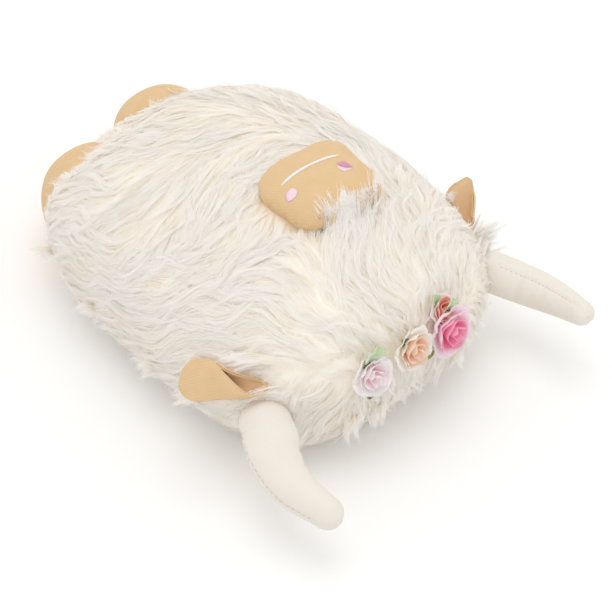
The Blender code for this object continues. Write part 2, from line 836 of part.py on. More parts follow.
def build_rose(name, place_share, height_share, size, leaf_share):
    """One rose on the crown, seated on the fur by its stem."""
    outer, inner = ROSE_COLOURS[name]
    surface, normal = surface_at(
        (place_share * BODY_WIDTH / 2, 0.0, SEAM_Z + (height_share - 0.5) * BODY_TOP),
        (0.0, 1.0, 0.0),
    )
    rotation = normal.to_track_quat("Z", "Y").to_matrix().to_4x4()
    place = Matrix.Translation(surface + normal * ROSE_LIFT) @ rotation
    turned = Matrix.Rotation(math.tau * leaf_share, 4, "Z")
    leaf = add_part("rose_" + name + "_leaf", leaf_sheet("leaf", size), leaf_green)
    leaf.data.transform(Matrix.Translation(surface + normal * GAP) @ rotation @ turned)
    skin(leaf, LEAF_THICKNESS)
    leaf.modifiers["skin"].offset = 1.0
    petals = add_part(
        "rose_" + name + "_petals",
        petal_sheet("petals", size),
        new_material(name + "_petals", outer, 0.8),
    )
    petals.data.transform(place)
    skin(petals, PETAL_THICKNESS)
    petals.modifiers["skin"].offset = 0.0

    def bud(along, turn):
        polar = math.pi * along
        ridge = 1.0 + RIDGE_SHARE * math.cos(3 * turn + 2.5 * along) * math.sin(polar)
        return Vector(
            (
                size * HEART_RADIUS * math.sin(polar) * ridge * math.cos(turn),
                size * HEART_RADIUS * math.sin(polar) * ridge * math.sin(turn),
                GAP + size * HEART_HEIGHT / 2 * (1.0 - math.cos(polar)),
            )
        )

    heart = add_part(
        "rose_" + name + "_heart",
        ball_mesh("heart", 12, 8, bud),
        new_material(name + "_heart", inner, 0.8),
    )
    heart.data.transform(place)
    add_part(
        "rose_" + name + "_stem",
        tube("stem", STEM_RADIUS, -STEM_LENGTH, 0.0, 8, place),
        stem_green,
    )
    bore = add_guide(
        "rose_" + name + "_bore",
        tube("bore", STEM_RADIUS + GAP, -STEM_LENGTH - GAP, OVERRUN, 8, place),
    )
    for piece in body_pieces:
        cut(piece, bore)


for rose_name, rose_shares in ROSE_SHARES.items():
    build_rose(rose_name, *rose_shares)
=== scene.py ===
"""A plush long-haired cow pillow that lies on its back, face up, on a pale floor.

The crown of the head points to -Y, the feet to +Y, the face to +Z, and the
cow's own left side is at -X. All lengths are in metres.
"""
import json
import math

import bmesh
import bpy
import numpy as np
from mathutils import Matrix, Vector
from mathutils.bvhtree import BVHTree
from mathutils.kdtree import KDTree


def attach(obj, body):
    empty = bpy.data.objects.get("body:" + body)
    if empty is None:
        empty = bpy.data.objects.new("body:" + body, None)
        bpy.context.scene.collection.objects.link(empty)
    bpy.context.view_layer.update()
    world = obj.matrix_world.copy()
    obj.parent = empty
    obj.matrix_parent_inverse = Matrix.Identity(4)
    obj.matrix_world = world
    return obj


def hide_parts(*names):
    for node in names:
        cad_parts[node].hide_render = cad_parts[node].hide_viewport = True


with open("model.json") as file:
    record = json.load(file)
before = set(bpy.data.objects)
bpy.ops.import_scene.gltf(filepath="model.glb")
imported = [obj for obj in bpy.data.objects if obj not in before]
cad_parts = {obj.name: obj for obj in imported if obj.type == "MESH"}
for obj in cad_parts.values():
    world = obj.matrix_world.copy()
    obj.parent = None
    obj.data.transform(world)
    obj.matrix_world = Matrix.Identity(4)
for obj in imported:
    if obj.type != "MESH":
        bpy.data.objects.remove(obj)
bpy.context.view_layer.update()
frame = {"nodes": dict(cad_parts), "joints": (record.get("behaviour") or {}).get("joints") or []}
scene = bpy.context.scene


# Picture: the toy is seen from its crown, over its left ear, from 1.1 metres
# away and 42 degrees down, in plain colours
CAMERA_PLACE = Vector((-0.5750, -0.7135, 0.8120))
CAMERA_RIGHT = Vector((0.7431, -0.6691, 0.0))
CAMERA_AHEAD = Vector((0.4972, 0.5523, -0.6691))

camera = bpy.data.objects.new("camera", bpy.data.cameras.new("camera"))
scene.collection.objects.link(camera)
camera.data.lens = 88.06
camera.data.sensor_width = 36.0
camera.data.clip_start = 0.05
camera.matrix_world = Matrix.Translation(CAMERA_PLACE) @ Matrix(
    (CAMERA_RIGHT, CAMERA_RIGHT.cross(CAMERA_AHEAD), -CAMERA_AHEAD)
).transposed().to_4x4()
scene.camera = camera
scene.view_settings.view_transform = "Standard"
scene.cycles.max_bounces = 24
scene.cycles.diffuse_bounces = 20


# Floor and light: a plain white floor under an even white sky, and one broad
# lamp above the near side, so that the toy keeps a soft shadow
FLOOR_COLOUR = (0.90, 0.90, 0.90)
FLOOR_SEEN = (1.0, 1.0, 1.0)
FLOOR_HALF = 6.0
FLOOR_DROP = 0.0002
SKY_COLOUR = (1.0, 0.995, 0.985)
SKY_STRENGTH = 0.93
LAMP_PLACE = Vector((-0.10, -0.15, 1.9))
LAMP_AIM = Vector((0.0, -0.02, 0.08))
LAMP_SIZE = 1.3
LAMP_WATTS = 5.8


class Value:
    """An output of a shader node; sums and products of it add Math nodes."""

    def __init__(self, nodes, socket):
        self.nodes = nodes
        self.socket = socket

    def math(self, operation, first, second):
        return self.nodes.node("ShaderNodeMath", {"operation": operation}, {0: first, 1: second})

    def __add__(self, other):
        return self.math("ADD", self, other)

    def __sub__(self, other):
        return self.math("SUBTRACT", self, other)

    def __rsub__(self, other):
        return self.math("SUBTRACT", other, self)

    def __mul__(self, other):
        return self.math("MULTIPLY", self, other)

    __radd__ = __add__
    __rmul__ = __mul__


class Nodes:
    """The shader nodes of the sky or of a finish."""

    def __init__(self, tree):
        self.tree = tree

    def node(self, kind, settings, sockets, output=0):
        """A node of a kind, with its settings first and then its sockets."""
        made = self.tree.nodes.new(kind)
        for name, value in settings.items():
            if name == "stops":
                ramp = made.color_ramp
                while len(ramp.elements) < len(value):
                    ramp.elements.new(0.5)
                for element, (place, colour) in zip(ramp.elements, value):
                    element.position = place
                    element.color = (*colour, 1.0)
            else:
                setattr(made, name, value)
        for place, value in sockets.items():
            self.feed(made.inputs[place], value)
        return Value(self, made.outputs[output])

    def feed(self, socket, value):
        if isinstance(value, Value):
            self.tree.links.new(value.socket, socket)
        elif isinstance(value, tuple) and socket.type == "RGBA":
            socket.default_value = (*value, 1.0)
        else:
            socket.default_value = value


class Finish(Nodes):
    """One material: its main shader and what feeds it."""

    def __init__(self, name, roughness=0.9, **uniform):
        self.material = bpy.data.materials.new(name)
        self.material.use_nodes = True
        super().__init__(self.material.node_tree)
        self.shader = self.tree.nodes["Principled BSDF"]
        self.shader.inputs["Roughness"].default_value = roughness
        self.shader.inputs["Specular IOR Level"].default_value = 0.2
        for socket, value in uniform.items():
            self.shader.inputs[socket.replace("_", " ")].default_value = value

    def colour(self, value):
        self.feed(self.shader.inputs["Base Color"], value)

    def mix(self, share, first, second):
        """One colour into another, by a share."""
        settings = {"data_type": "RGBA", "clamp_factor": True}
        return self.node("ShaderNodeMix", settings, {0: share, 6: first, 7: second}, output=2)

    def ramp(self, share, *stops):
        """A row of colours, each given with its place from 0 to 1."""
        return self.node("ShaderNodeValToRGB", {"stops": stops}, {0: share})

    def between(self, value, low, high):
        """0 where a value is low, 1 where it is high, and even between."""
        return self.node("ShaderNodeMapRange", {}, {0: value, 1: low, 2: high, 3: 0.0, 4: 1.0})

    def on_map(self, axis):
        """The place on the piece's own map from 0 to 1: axis 0 across, 1 along."""
        place = self.node("ShaderNodeUVMap", {"uv_map": "OFBake"}, {})
        return self.node("ShaderNodeSeparateXYZ", {}, {0: place}, output=axis)

    def place(self):
        """The point of the surface, in metres."""
        return self.node("ShaderNodeTexCoord", {}, {}, output=3)

    def noise(self, size, detail=3.0, roughness=0.5):
        """Noise from 0 to 1 whose spots are of a size in metres."""
        sockets = {"Vector": self.place(), "Scale": 1.0 / size}
        sockets.update({"Detail": detail, "Roughness": roughness})
        return self.node("ShaderNodeTexNoise", {}, sockets)

    def let_through(self, share, colour):
        """Light that passes through thin stuff, as a share of the whole."""
        thin = self.node("ShaderNodeBsdfTranslucent", {}, {"Color": colour})
        lit = Value(self, self.shader.outputs[0])
        both = self.node("ShaderNodeMixShader", {}, {0: share, 1: lit, 2: thin})
        self.feed(self.tree.nodes["Material Output"].inputs["Surface"], both)

    def raise_by(self, height, depth):
        """Bumps: height from 0 to 1, depth in metres."""
        bump = self.node("ShaderNodeBump", {}, {"Distance": depth, "Height": height})
        self.feed(self.shader.inputs["Normal"], bump)


floor_mesh = bpy.data.meshes.new("floor")
corners = ((-1, -1), (1, -1), (1, 1), (-1, 1))
floor_mesh.from_pydata([(FLOOR_HALF * x, FLOOR_HALF * y, 0) for x, y in corners], [], [range(4)])
floor = bpy.data.objects.new("floor", floor_mesh)
scene.collection.objects.link(floor)
floor.location.z = -FLOOR_DROP
white_floor = Finish("white_floor")
seen = white_floor.node("ShaderNodeLightPath", {}, {}, output="Is Camera Ray")
white_floor.colour(white_floor.mix(seen, FLOOR_COLOUR, FLOOR_SEEN))
floor.data.materials.append(white_floor.material)

scene.world = bpy.data.worlds.new("soft_sky")
scene.world.use_nodes = True
sky = Nodes(scene.world.node_tree)
seen = sky.node("ShaderNodeLightPath", {}, {}, output="Is Camera Ray")
mirrored = sky.node("ShaderNodeLightPath", {}, {}, output="Is Glossy Ray")
shown = sky.node("ShaderNodeMath", {"operation": "MAXIMUM"}, {0: seen, 1: mirrored})
background = sky.tree.nodes["Background"].inputs
sky.feed(background["Color"], SKY_COLOUR)
sky.feed(background["Strength"], SKY_STRENGTH + (1.0 - SKY_STRENGTH) * shown)

lamp = bpy.data.objects.new("broad_lamp", bpy.data.lights.new("broad_lamp", "AREA"))
scene.collection.objects.link(lamp)
lamp.data.shape = "DISK"
lamp.data.size = LAMP_SIZE
lamp.data.energy = LAMP_WATTS
lamp.location = LAMP_PLACE
lamp.rotation_euler = (LAMP_AIM - LAMP_PLACE).to_track_quat("-Z", "Y").to_euler()


# Body: a pillow of long-pile ivory fur cloth, two panels joined by a seam half
# way up and filled with loose fibre. This is the dense cloth under the pile

BODY_AROUND = 14
# From crown to feet: place, half width, rise above and below the seam, shift
BODY_RINGS = (
    (-0.20156, 0.0, 0.0320, 0.0340, -0.00268),
    (-0.19444, 0.06700, 0.0320, 0.0340, -0.00268),
    (-0.17486, 0.10854, 0.0576, 0.0632, -0.00402),
    (-0.12680, 0.13132, 0.0792, 0.0714, -0.00402),
    (-0.05560, 0.13802, 0.0856, 0.0714, -0.00134),
    (0.01560, 0.13802, 0.0864, 0.0714, 0.00268),
    (0.08680, 0.13400, 0.0768, 0.0700, 0.00402),
    (0.15266, 0.08844, 0.0288, 0.0449, 0.00268),
    (0.16334, 0.0, 0.0288, 0.0449, 0.00268),
)
BODY_TOP_SQUARENESS = 2.2
BODY_BOTTOM_SQUARENESS = 3.5
SEAM_HEIGHT = 0.068
REST_DEPTH = 0.0005
CLOTH_DEPTH = 0.0035
CLOTH_THICKNESS = 0.0008
FLOOR_GAP = 0.0004
# Where the cloth is drawn in round the left foot: half width, half length,
# depth, how far towards the crown, and from what height up
FOOT_TUCK = (0.060, 0.042, 0.009, 0.012, 0.06)

hinges = {joint["child"]: Vector(joint["pos_m"]) for joint in frame["joints"]}


def shape_object(name, mesh, *modifiers):
    """An object in the scene with modifiers given as (kind, settings)."""
    made = bpy.data.objects.new(name, mesh)
    scene.collection.objects.link(made)
    for kind, settings in modifiers:
        modifier = made.modifiers.new(kind.lower(), kind)
        for key, value in settings.items():
            setattr(modifier, key, value)
    return made


def settled(made):
    """The same object with its modifiers carried out on its mesh."""
    bpy.context.view_layer.update()
    depsgraph = bpy.context.evaluated_depsgraph_get()
    made.data = bpy.data.meshes.new_from_object(made.evaluated_get(depsgraph))
    made.modifiers.clear()
    made.data.shade_smooth()
    return made


def rounded(angle, squareness):
    """Cosine and sine of an angle, swollen towards a rounded square."""
    c, s = math.cos(angle), math.sin(angle)
    power = 2.0 / squareness
    return math.copysign(abs(c) ** power, c), math.copysign(abs(s) ** power, s)


def body_cage():
    """The rings of the pillow, closed by one point at each end."""
    points = []
    for y, half_width, top, bottom, shift in BODY_RINGS[1:-1]:
        for step in range(BODY_AROUND):
            turn = math.tau * step / BODY_AROUND
            squareness = BODY_TOP_SQUARENESS if math.sin(turn) > 1e-6 else BODY_BOTTOM_SQUARENESS
            across, up = rounded(turn, squareness)
            rise = up * (top if up > 0.0 else bottom)
            points.append((half_width * across + shift, y, SEAM_HEIGHT + rise))
    end = len(points)
    points += [(ring[4], ring[0], SEAM_HEIGHT) for ring in (BODY_RINGS[0], BODY_RINGS[-1])]
    last = end - BODY_AROUND
    steps = [(step, (step + 1) % BODY_AROUND) for step in range(BODY_AROUND)]
    faces = []
    for row in range(0, last, BODY_AROUND):
        below = row + BODY_AROUND
        faces += [(row + a, below + a, below + b, row + b) for a, b in steps]
    for a, b in steps:
        faces += [(end, a, b), (end + 1, last + b, last + a)]
    mesh = bpy.data.meshes.new("body_skin")
    mesh.from_pydata(points, [], faces)
    return mesh


body_skin = settled(shape_object("body_skin", body_cage(), ("SUBSURF", {"levels": 3})))
lowest = min(vert.co.z for vert in body_skin.data.vertices)
tuck_width, tuck_length, tuck_depth, tuck_shift, tuck_from = FOOT_TUCK
for vert in body_skin.data.vertices:
    vert.co.z -= lowest + REST_DEPTH
    aside = vert.co - hinges["foot_left"]
    tucked = 1.0 - (aside.x / tuck_width) ** 2 - ((aside.y + tuck_shift) / tuck_length) ** 2
    if vert.co.z > tuck_from:
        vert.co.z -= tuck_depth * max(0.0, tucked)
pile_tree = BVHTree.FromObject(body_skin, bpy.context.evaluated_depsgraph_get())

# How far each point of a grid is outside the form of the lying pile
GRID_STEP = 0.006
GRID_ROOM = 0.042
grid_low = np.array([v.co for v in body_skin.data.vertices]).min(0) - GRID_ROOM
grid_high = np.array([v.co for v in body_skin.data.vertices]).max(0) + GRID_ROOM
grid_count = np.ceil((grid_high - grid_low) / GRID_STEP).astype(int) + 1
outside = np.empty(grid_count)
for place in np.ndindex(*grid_count):
    point = Vector(grid_low + GRID_STEP * np.array(place))
    near, normal, _, far = pile_tree.find_nearest(point)
    outside[place] = far if (point - near).dot(normal) > 0 else -far
slopes = np.stack(np.gradient(outside, GRID_STEP), -1)


def on_grid(grid, points):
    """Values of a grid at points between its own."""
    spot = np.clip((points - grid_low) / GRID_STEP, 0, grid_count - 1.001)
    cell = spot.astype(int)
    part = spot - cell
    total = 0.0
    for corner in np.ndindex(2, 2, 2):
        weight = np.ones(len(points))
        for axis in range(3):
            weight = weight * (part[:, axis] if corner[axis] else 1 - part[:, axis])
        value = grid[tuple((cell + np.array(corner)).T)]
        total = total + (weight[:, None] * value if value.ndim == 2 else weight * value)
    return total


def unit(vectors):
    return vectors / np.maximum(np.linalg.norm(vectors, axis=-1, keepdims=True), 1e-9)


def outward(points):
    return unit(on_grid(slopes, points))


# What the pile lies against: the edge and the rise of the stuffed muzzle, the
# round feet, and the sewn roots of the horns and ears
MUZZLE_MIDDLE = Vector((0.0095, -0.0805, 0.0))
MUZZLE_HALF = (0.0412, 0.0380, 0.020)
MUZZLE_TURN = math.radians(-5)
# Its outline by the turn from its right side, as a share of an even pad's
MUZZLE_OUTLINE = np.array(
    ((0, 0.90), (15, 0.945), (30, 1.02), (45, 1.055), (60, 1.02), (75, 0.945), (120, 0.945))
    + ((135, 0.96), (150, 1.01), (165, 1.06), (180, 1.03), (195, 0.99), (210, 1.04), (225, 1.04))
    + ((250, 1.01), (300, 1.0), (315, 0.97), (330, 0.93), (345, 0.88))
)
MUZZLE_TURNS, MUZZLE_EDGE = np.radians(MUZZLE_OUTLINE[:, 0]), MUZZLE_OUTLINE[:, 1]
MUZZLE_PROUD = 0.004
MUZZLE_SQUARENESS = 2.3
MUZZLE_CORNERS = 3.2
MUZZLE_BANK = 0.010
MUZZLE_MIDDLE.z = (
    pile_tree.ray_cast(Vector((MUZZLE_MIDDLE.x, MUZZLE_MIDDLE.y, 1.0)), Vector((0, 0, -1)))[0].z
    + MUZZLE_PROUD
)
FOOT_RADIUS = 0.0475
FOOT_TOE = 0.004
# Which way each foot swells up against the belly, and by what share
FOOT_SWELL = {"foot_left": ((-0.25, -0.62, 0.74), 0.18), "foot_right": ((0.0, -0.62, 0.78), 0.0)}
HORN_ROOT_RADIUS = 0.0155
# Where the pile lies over the roots of the horns and ears: the way that each
# leaves the body, from where to where along it, and how far from its middle
COLLARS = {
    "horn_left": ((-0.509, -0.847, -0.156), -0.012, 0.010, 0.0218),
    "horn_right": ((0.357, -0.930, -0.087), -0.012, 0.008, 0.0205),
    "ear_left": ((-0.719, 0.695, 0.0), -0.004, 0.009, 0.0092),
    "ear_right": ((0.545, 0.839, 0.0), -0.004, 0.012, 0.0085),
}
# Across the picture from the muzzle's middle: how much of the muzzle's crown
# side the hairs rooted there may fall over
FRINGE = np.array(
    ((0.002, 0.0), (0.005, 0.46), (0.029, 0.46), (0.036, 0.2), (0.052, 0.16), (0.056, 0.0))
)
FRINGE_FROM = -0.010

dice = np.random.default_rng(11)


def foot_reach(name, away):
    """How far a foot's surface is from its middle, the ways that points are away."""
    way = unit(away)
    toe = np.clip((way[..., 1] - 0.62) / 0.38, 0, 1) ** 2
    toward, more = FOOT_SWELL[name]
    swell = np.clip(way @ np.array(toward), 0, 1) ** 2
    return FOOT_RADIUS * (1.0 + more * swell) + FOOT_TOE * toe


def muzzle_level(points):
    """0 at the middle of the muzzle as seen from above, 1 at its edge."""
    x, y = points[..., 0] - MUZZLE_MIDDLE.x, points[..., 1] - MUZZLE_MIDDLE.y
    c, s = math.cos(MUZZLE_TURN), math.sin(MUZZLE_TURN)
    x, y = c * x + s * y, c * y - s * x
    edge = np.interp(np.arctan2(y, x), MUZZLE_TURNS, MUZZLE_EDGE, period=math.tau)
    across = np.abs(x) / (MUZZLE_HALF[0] * edge)
    up = np.abs(y) / (MUZZLE_HALF[1] * edge)
    return (across**MUZZLE_CORNERS + up**MUZZLE_CORNERS) ** (1.0 / MUZZLE_CORNERS)


def over_the_chin(roots):
    """How far hairs rooted there may fall over the muzzle's crown side: a share."""
    away = roots[:, :2] - np.array(MUZZLE_MIDDLE)[:2]
    column = 1.01 * away[:, 0] - 0.91 * away[:, 1]
    return np.where(away[:, 1] < FRINGE_FROM, np.interp(column, FRINGE[:, 0], FRINGE[:, 1]), 0.0)


def clear_of_pieces(points, climbs, room):
    """Points moved off the feet, the horns' and ears' roots and the muzzle."""
    points = points.copy()
    for name in FOOT_SWELL:
        middle = np.array(hinges[name])
        away = points - middle
        far = np.linalg.norm(away, axis=-1)
        limit = foot_reach(name, away) + room
        push = far < limit
        points[push] = middle + away[push] * (limit / np.maximum(far, 1e-9))[push, None]
    for name, (way, low, high, reach) in COLLARS.items():
        middle, way = np.array(hinges[name]), np.array(way)
        along = (points - middle) @ way
        aside = points - middle - along[..., None] * way
        far = np.linalg.norm(aside, axis=-1)
        uneven = dice.normal(0.0, 1.0, (len(points), 1))
        reach = np.broadcast_to(reach * (1.0 + 0.10 * uneven), far.shape)
        push = (along > low) & (along < high + 0.005 * uneven) & (far < reach)
        points[push] += aside[push] * (reach[push] / np.maximum(far[push], 1e-9) - 1.0)[:, None]
    level = muzzle_level(points)
    dome = np.clip(1.0 - np.minimum(level, 1.0) ** MUZZLE_SQUARENESS, 0.0, 1.0)
    top = MUZZLE_MIDDLE.z + MUZZLE_HALF[2] * np.sqrt(dome)
    over = (level < 1.0) & climbs[:, None]
    points[..., 2] = np.where(over, np.maximum(points[..., 2], top + room), points[..., 2])
    return points


# Pile: the long ivory hairs woven into the body's cloth, which cling together
# into wisps and locks, with short soft hairs between them. They are combed over
# the muzzle's edge and the roots of the feet, horns and ears

# A place on the body in millimetres, the way of the hairs there, their length
LIE = np.array(
    (
        (63, 26, 143, -0.13, 0.99, -0.08, 36), (66, -14, 144, -0.24, 0.97, 0.08, 32),
        (87, -29, 135, -0.48, 0.81, 0.35, 26), (80, -84, 134, 0.57, 0.81, -0.13, 34),
        (32, -119, 142, 0.57, 0.82, 0.03, 34), (72, -125, 130, 0.64, 0.77, 0.04, 36),
        (55, -159, 122, 0.63, 0.74, 0.22, 34), (25, -161, 128, 0.56, 0.76, 0.31, 42),
        (15, -182, 113, 0.50, 0.67, 0.55, 38), (-9, -145, 137, 0.49, 0.82, 0.28, 44),
        (-28, -172, 122, 0.25, 0.70, 0.67, 44), (-36, -139, 137, 0.27, 0.90, 0.34, 44),
        (-24, -113, 144, 0.74, 0.65, 0.15, 34), (11, -100, 138, 0.63, 0.77, 0.09, 28),
        (-50, -114, 141, -0.33, 0.94, 0.08, 40), (-68, -106, 137, -0.88, 0.40, -0.25, 40),
        (-57, -172, 116, -0.41, 0.72, 0.56, 42), (-71, -178, 104, -0.67, 0.64, 0.37, 42),
        (-88, -164, 108, -0.69, 0.72, 0.07, 48), (-111, -137, 103, -0.54, 0.82, -0.18, 48),
        (-117, -113, 106, -0.40, 0.88, -0.24, 48), (-90, -131, 123, -0.44, 0.90, 0.06, 50),
        (-69, -128, 133, -0.28, 0.94, 0.20, 48), (-102, -96, 123, -0.39, 0.92, -0.08, 48),
        (-107, -72, 122, -0.42, 0.88, -0.21, 48), (-122, -71, 105, -0.23, 0.88, -0.41, 46),
        (-79, -187, 70, -0.48, 0.13, -0.87, 34), (-89, -181, 46, -0.13, 0.32, -0.94, 34),
        (-59, -194, 62, -0.12, 0.05, -0.99, 24), (-37, -197, 63, -0.07, 0.08, -0.99, 16),
        (-6, -197, 52, 0.13, 0.14, -0.98, 14), (-102, -165, 92, -0.65, 0.72, -0.24, 34),
        (-29, -197, 78, -0.60, -0.24, -0.76, 12), (3, -198, 76, -0.40, -0.32, -0.86, 12),
        (-4, -190, 100, 0.15, 0.40, 0.85, 20), (28, -189, 102, 0.35, 0.45, 0.80, 20),
        (-14, -185, 111, 0.11, 0.56, 0.82, 30), (-46, -185, 105, -0.20, 0.53, 0.82, 30),
        (-58, -59, 145, -0.72, -0.67, -0.18, 44), (-78, -64, 138, -0.88, -0.32, -0.34, 44),
        (-66, -11, 143, -0.75, -0.61, -0.25, 44), (-92, -43, 132, -0.85, -0.06, -0.52, 46),
        (-88, -15, 134, -0.82, -0.30, -0.49, 46), (-75, 21, 138, -0.93, 0.09, -0.35, 46),
        (-63, 71, 132, -0.60, 0.69, -0.41, 44), (-88, 73, 121, -0.35, 0.83, -0.43, 44),
        (-106, 76, 106, -0.20, 0.86, -0.47, 40), (-117, 48, 103, -0.18, 0.82, -0.54, 42),
        (-101, 26, 124, -0.59, 0.68, -0.43, 46), (-31, 53, 145, -0.60, 0.73, -0.32, 42),
        (-28, 101, 128, -0.89, 0.32, -0.33, 40), (-7, 21, 150, -0.95, 0.31, -0.09, 42),
        (-8, -15, 152, -1.00, -0.04, -0.06, 38), (-33, -28, 150, -0.89, -0.42, -0.18, 42),
        (-43, -70, 147, -0.77, -0.61, -0.19, 34), (-45, -95, 144, -0.75, -0.61, -0.24, 34),
        (-82, -94, 134, -0.93, 0.22, -0.30, 42), (-95, -73, 129, -0.66, 0.66, -0.36, 46),
        (-118, -15, 111, -0.35, 0.83, -0.43, 46), (-125, 18, 94, -0.12, 0.88, -0.45, 44),
        (-126, 54, 79, 0.14, 0.89, -0.43, 34), (-131, -30, 83, -0.04, 0.93, -0.37, 42),
        (-133, -63, 74, -0.10, 0.91, -0.40, 38), (-130, -75, 38, -0.22, 0.81, -0.54, 30),
        (-131, -13, 79, 0.01, 0.96, -0.28, 36), (-130, 32, 68, 0.06, 0.98, -0.21, 32),
        (-133, -39, 44, 0.06, 0.82, -0.56, 30), (131, -20, 90, 0.20, 0.80, -0.55, 36),
        (128, 50, 90, 0.10, 0.90, -0.45, 36), (125, -90, 90, 0.35, 0.75, -0.55, 34),
        (110, -150, 70, 0.30, 0.35, -0.85, 30), (60, -190, 60, 0.25, 0.10, -0.95, 22),
        (40, 110, 120, 0.00, 0.90, -0.40, 38), (90, 100, 100, 0.10, 0.95, -0.30, 38),
        (0, 150, 80, 0.00, 0.60, -0.80, 30), (0, 0, 0, 0.00, 1.00, 0.00, 18),
        (0, -150, 5, 0.00, 1.00, 0.00, 18), (90, 0, 5, 0.20, 1.00, 0.00, 18),
        (-90, 0, 5, -0.20, 1.00, 0.00, 18), (0, 120, 5, 0.00, 1.00, 0.00, 18),
    )
)
LIE_REACH = 0.013
LOCKS = 3200
WISPS = 15000
HAIRS = 105000
HAIR_POINTS = 8
HAIR_WIDTH = 0.00042
LOCK_DRAW = 0.42
WISP_DRAW = 0.54
ROUND_LOCK = 0.25
LONGER = 1.12
PILE_TOP = 0.0005
LOCK_RISE = 0.16
LOCK_DROOP = 0.0022
BANK_WIDTH = 0.016
FOOT_BESIDE = 0.035
STRAY_SHARE = 0.08
FLICK_SHARE = 0.09
FLICK_LOW, FLICK_HIGH = 0.003, 0.008
WISP_SWAY = 0.0024
HAIR_DRIFT = 0.0008
SOFT_HAIRS = 44000
SOFT_HAIR_POINTS = 5
SOFT_HAIR_WIDTH = 0.00055
HAIR_OVER_PIECES = 0.0010
# Tufts that stand out from the rest: place, way and length as above, and spread
TUFTS = (
    (119, -140, 86, 0.72, -0.22, 0.66, 46, 8), (121, -152, 80, 0.80, -0.16, 0.56, 46, 8),
    (117, -147, 88, 0.74, -0.30, 0.66, 38, 7), (-106, -146, 100, -0.80, 0.35, 0.12, 26, 5),
    (-100, -152, 102, -0.85, 0.25, 0.05, 30, 5), (-110, -138, 98, -0.75, 0.60, 0.10, 20, 4),
    (121, -128, 82, 0.85, 0.25, 0.30, 22, 5), (112, -112, 104, 0.70, -0.35, 0.45, 18, 4),
    (70, -100, 134, 0.60, 0.20, 0.55, 14, 4), (-62, -190, 52, -0.25, -0.35, -0.75, 26, 7),
    (-40, -195, 50, -0.05, -0.40, -0.80, 20, 6), (40, -197, 52, 0.25, -0.40, -0.70, 18, 6),
    (-131, -110, 60, -0.55, 0.35, -0.60, 22, 7), (-134, -60, 50, -0.55, 0.35, -0.60, 20, 7),
    (-132, 20, 50, -0.50, 0.55, -0.50, 20, 7), (-118, 96, 50, -0.45, 0.70, -0.40, 20, 7),
)
TUFT_WISPS = 9


def lie_at(points):
    """The way and the length of the pile at points, from the table."""
    apart = ((points[:, None, :] - LIE[None, :, :3] / 1000.0) ** 2).sum(-1)
    weight = 1.0 / (apart + LIE_REACH**2) ** 2
    way = (weight[..., None] * LIE[None, :, 3:6]).sum(1)
    length = (weight * LIE[None, :, 6]).sum(1) / weight.sum(1) / 1000.0
    return way, length


def along_surface(way, normal):
    return unit(way - (way * normal).sum(-1, keepdims=True) * normal)


def turned(way, normal, angle):
    """Ways turned about the surface's normal by angles."""
    side = np.cross(normal, way)
    return way * np.cos(angle)[:, None] + side * np.sin(angle)[:, None]


def roots_on_body(count):
    """Even random points on the lying pile's form, clear of what covers it."""
    mesh = body_skin.data
    mesh.calc_loop_triangles()
    corners = np.array([v.co for v in mesh.vertices])[
        np.array([t.vertices for t in mesh.loop_triangles])
    ]
    area = np.linalg.norm(
        np.cross(corners[:, 1] - corners[:, 0], corners[:, 2] - corners[:, 0]), axis=1
    )
    trio = corners[dice.choice(len(corners), count * 4, p=area / area.sum())]
    a, b = dice.random((2, count * 4))
    flip = a + b > 1
    a[flip], b[flip] = 1 - a[flip], 1 - b[flip]
    first, second, third = trio[:, 0], trio[:, 1], trio[:, 2]
    points = first + a[:, None] * (second - first) + b[:, None] * (third - first)
    keep = (points[:, 2] > 0.012) | (dice.random(len(points)) < 0.25)
    for name in FOOT_SWELL:
        away = points - np.array(hinges[name])
        keep &= np.linalg.norm(away, axis=1) > foot_reach(name, away) + 0.003
    for name in ("horn_left", "horn_right"):
        away = np.linalg.norm(points - np.array(hinges[name]), axis=1)
        keep &= away > HORN_ROOT_RADIUS - 0.001
    keep &= muzzle_level(points) > 0.90
    keep &= dice.random(len(points)) < 0.015 / np.maximum(lie_at(points)[1], 0.012)
    return points[keep][:count]


def drifting(points, size, seed):
    """A smooth random number, about -1 to 1, that drifts over a size."""
    own = np.random.default_rng(seed)
    total = np.zeros(len(points))
    for _ in range(7):
        way = unit(own.normal(size=3)) * math.tau / (size * own.uniform(0.7, 1.8))
        total += np.sin(points @ way + own.uniform(0, math.tau))
    return total / 2.2


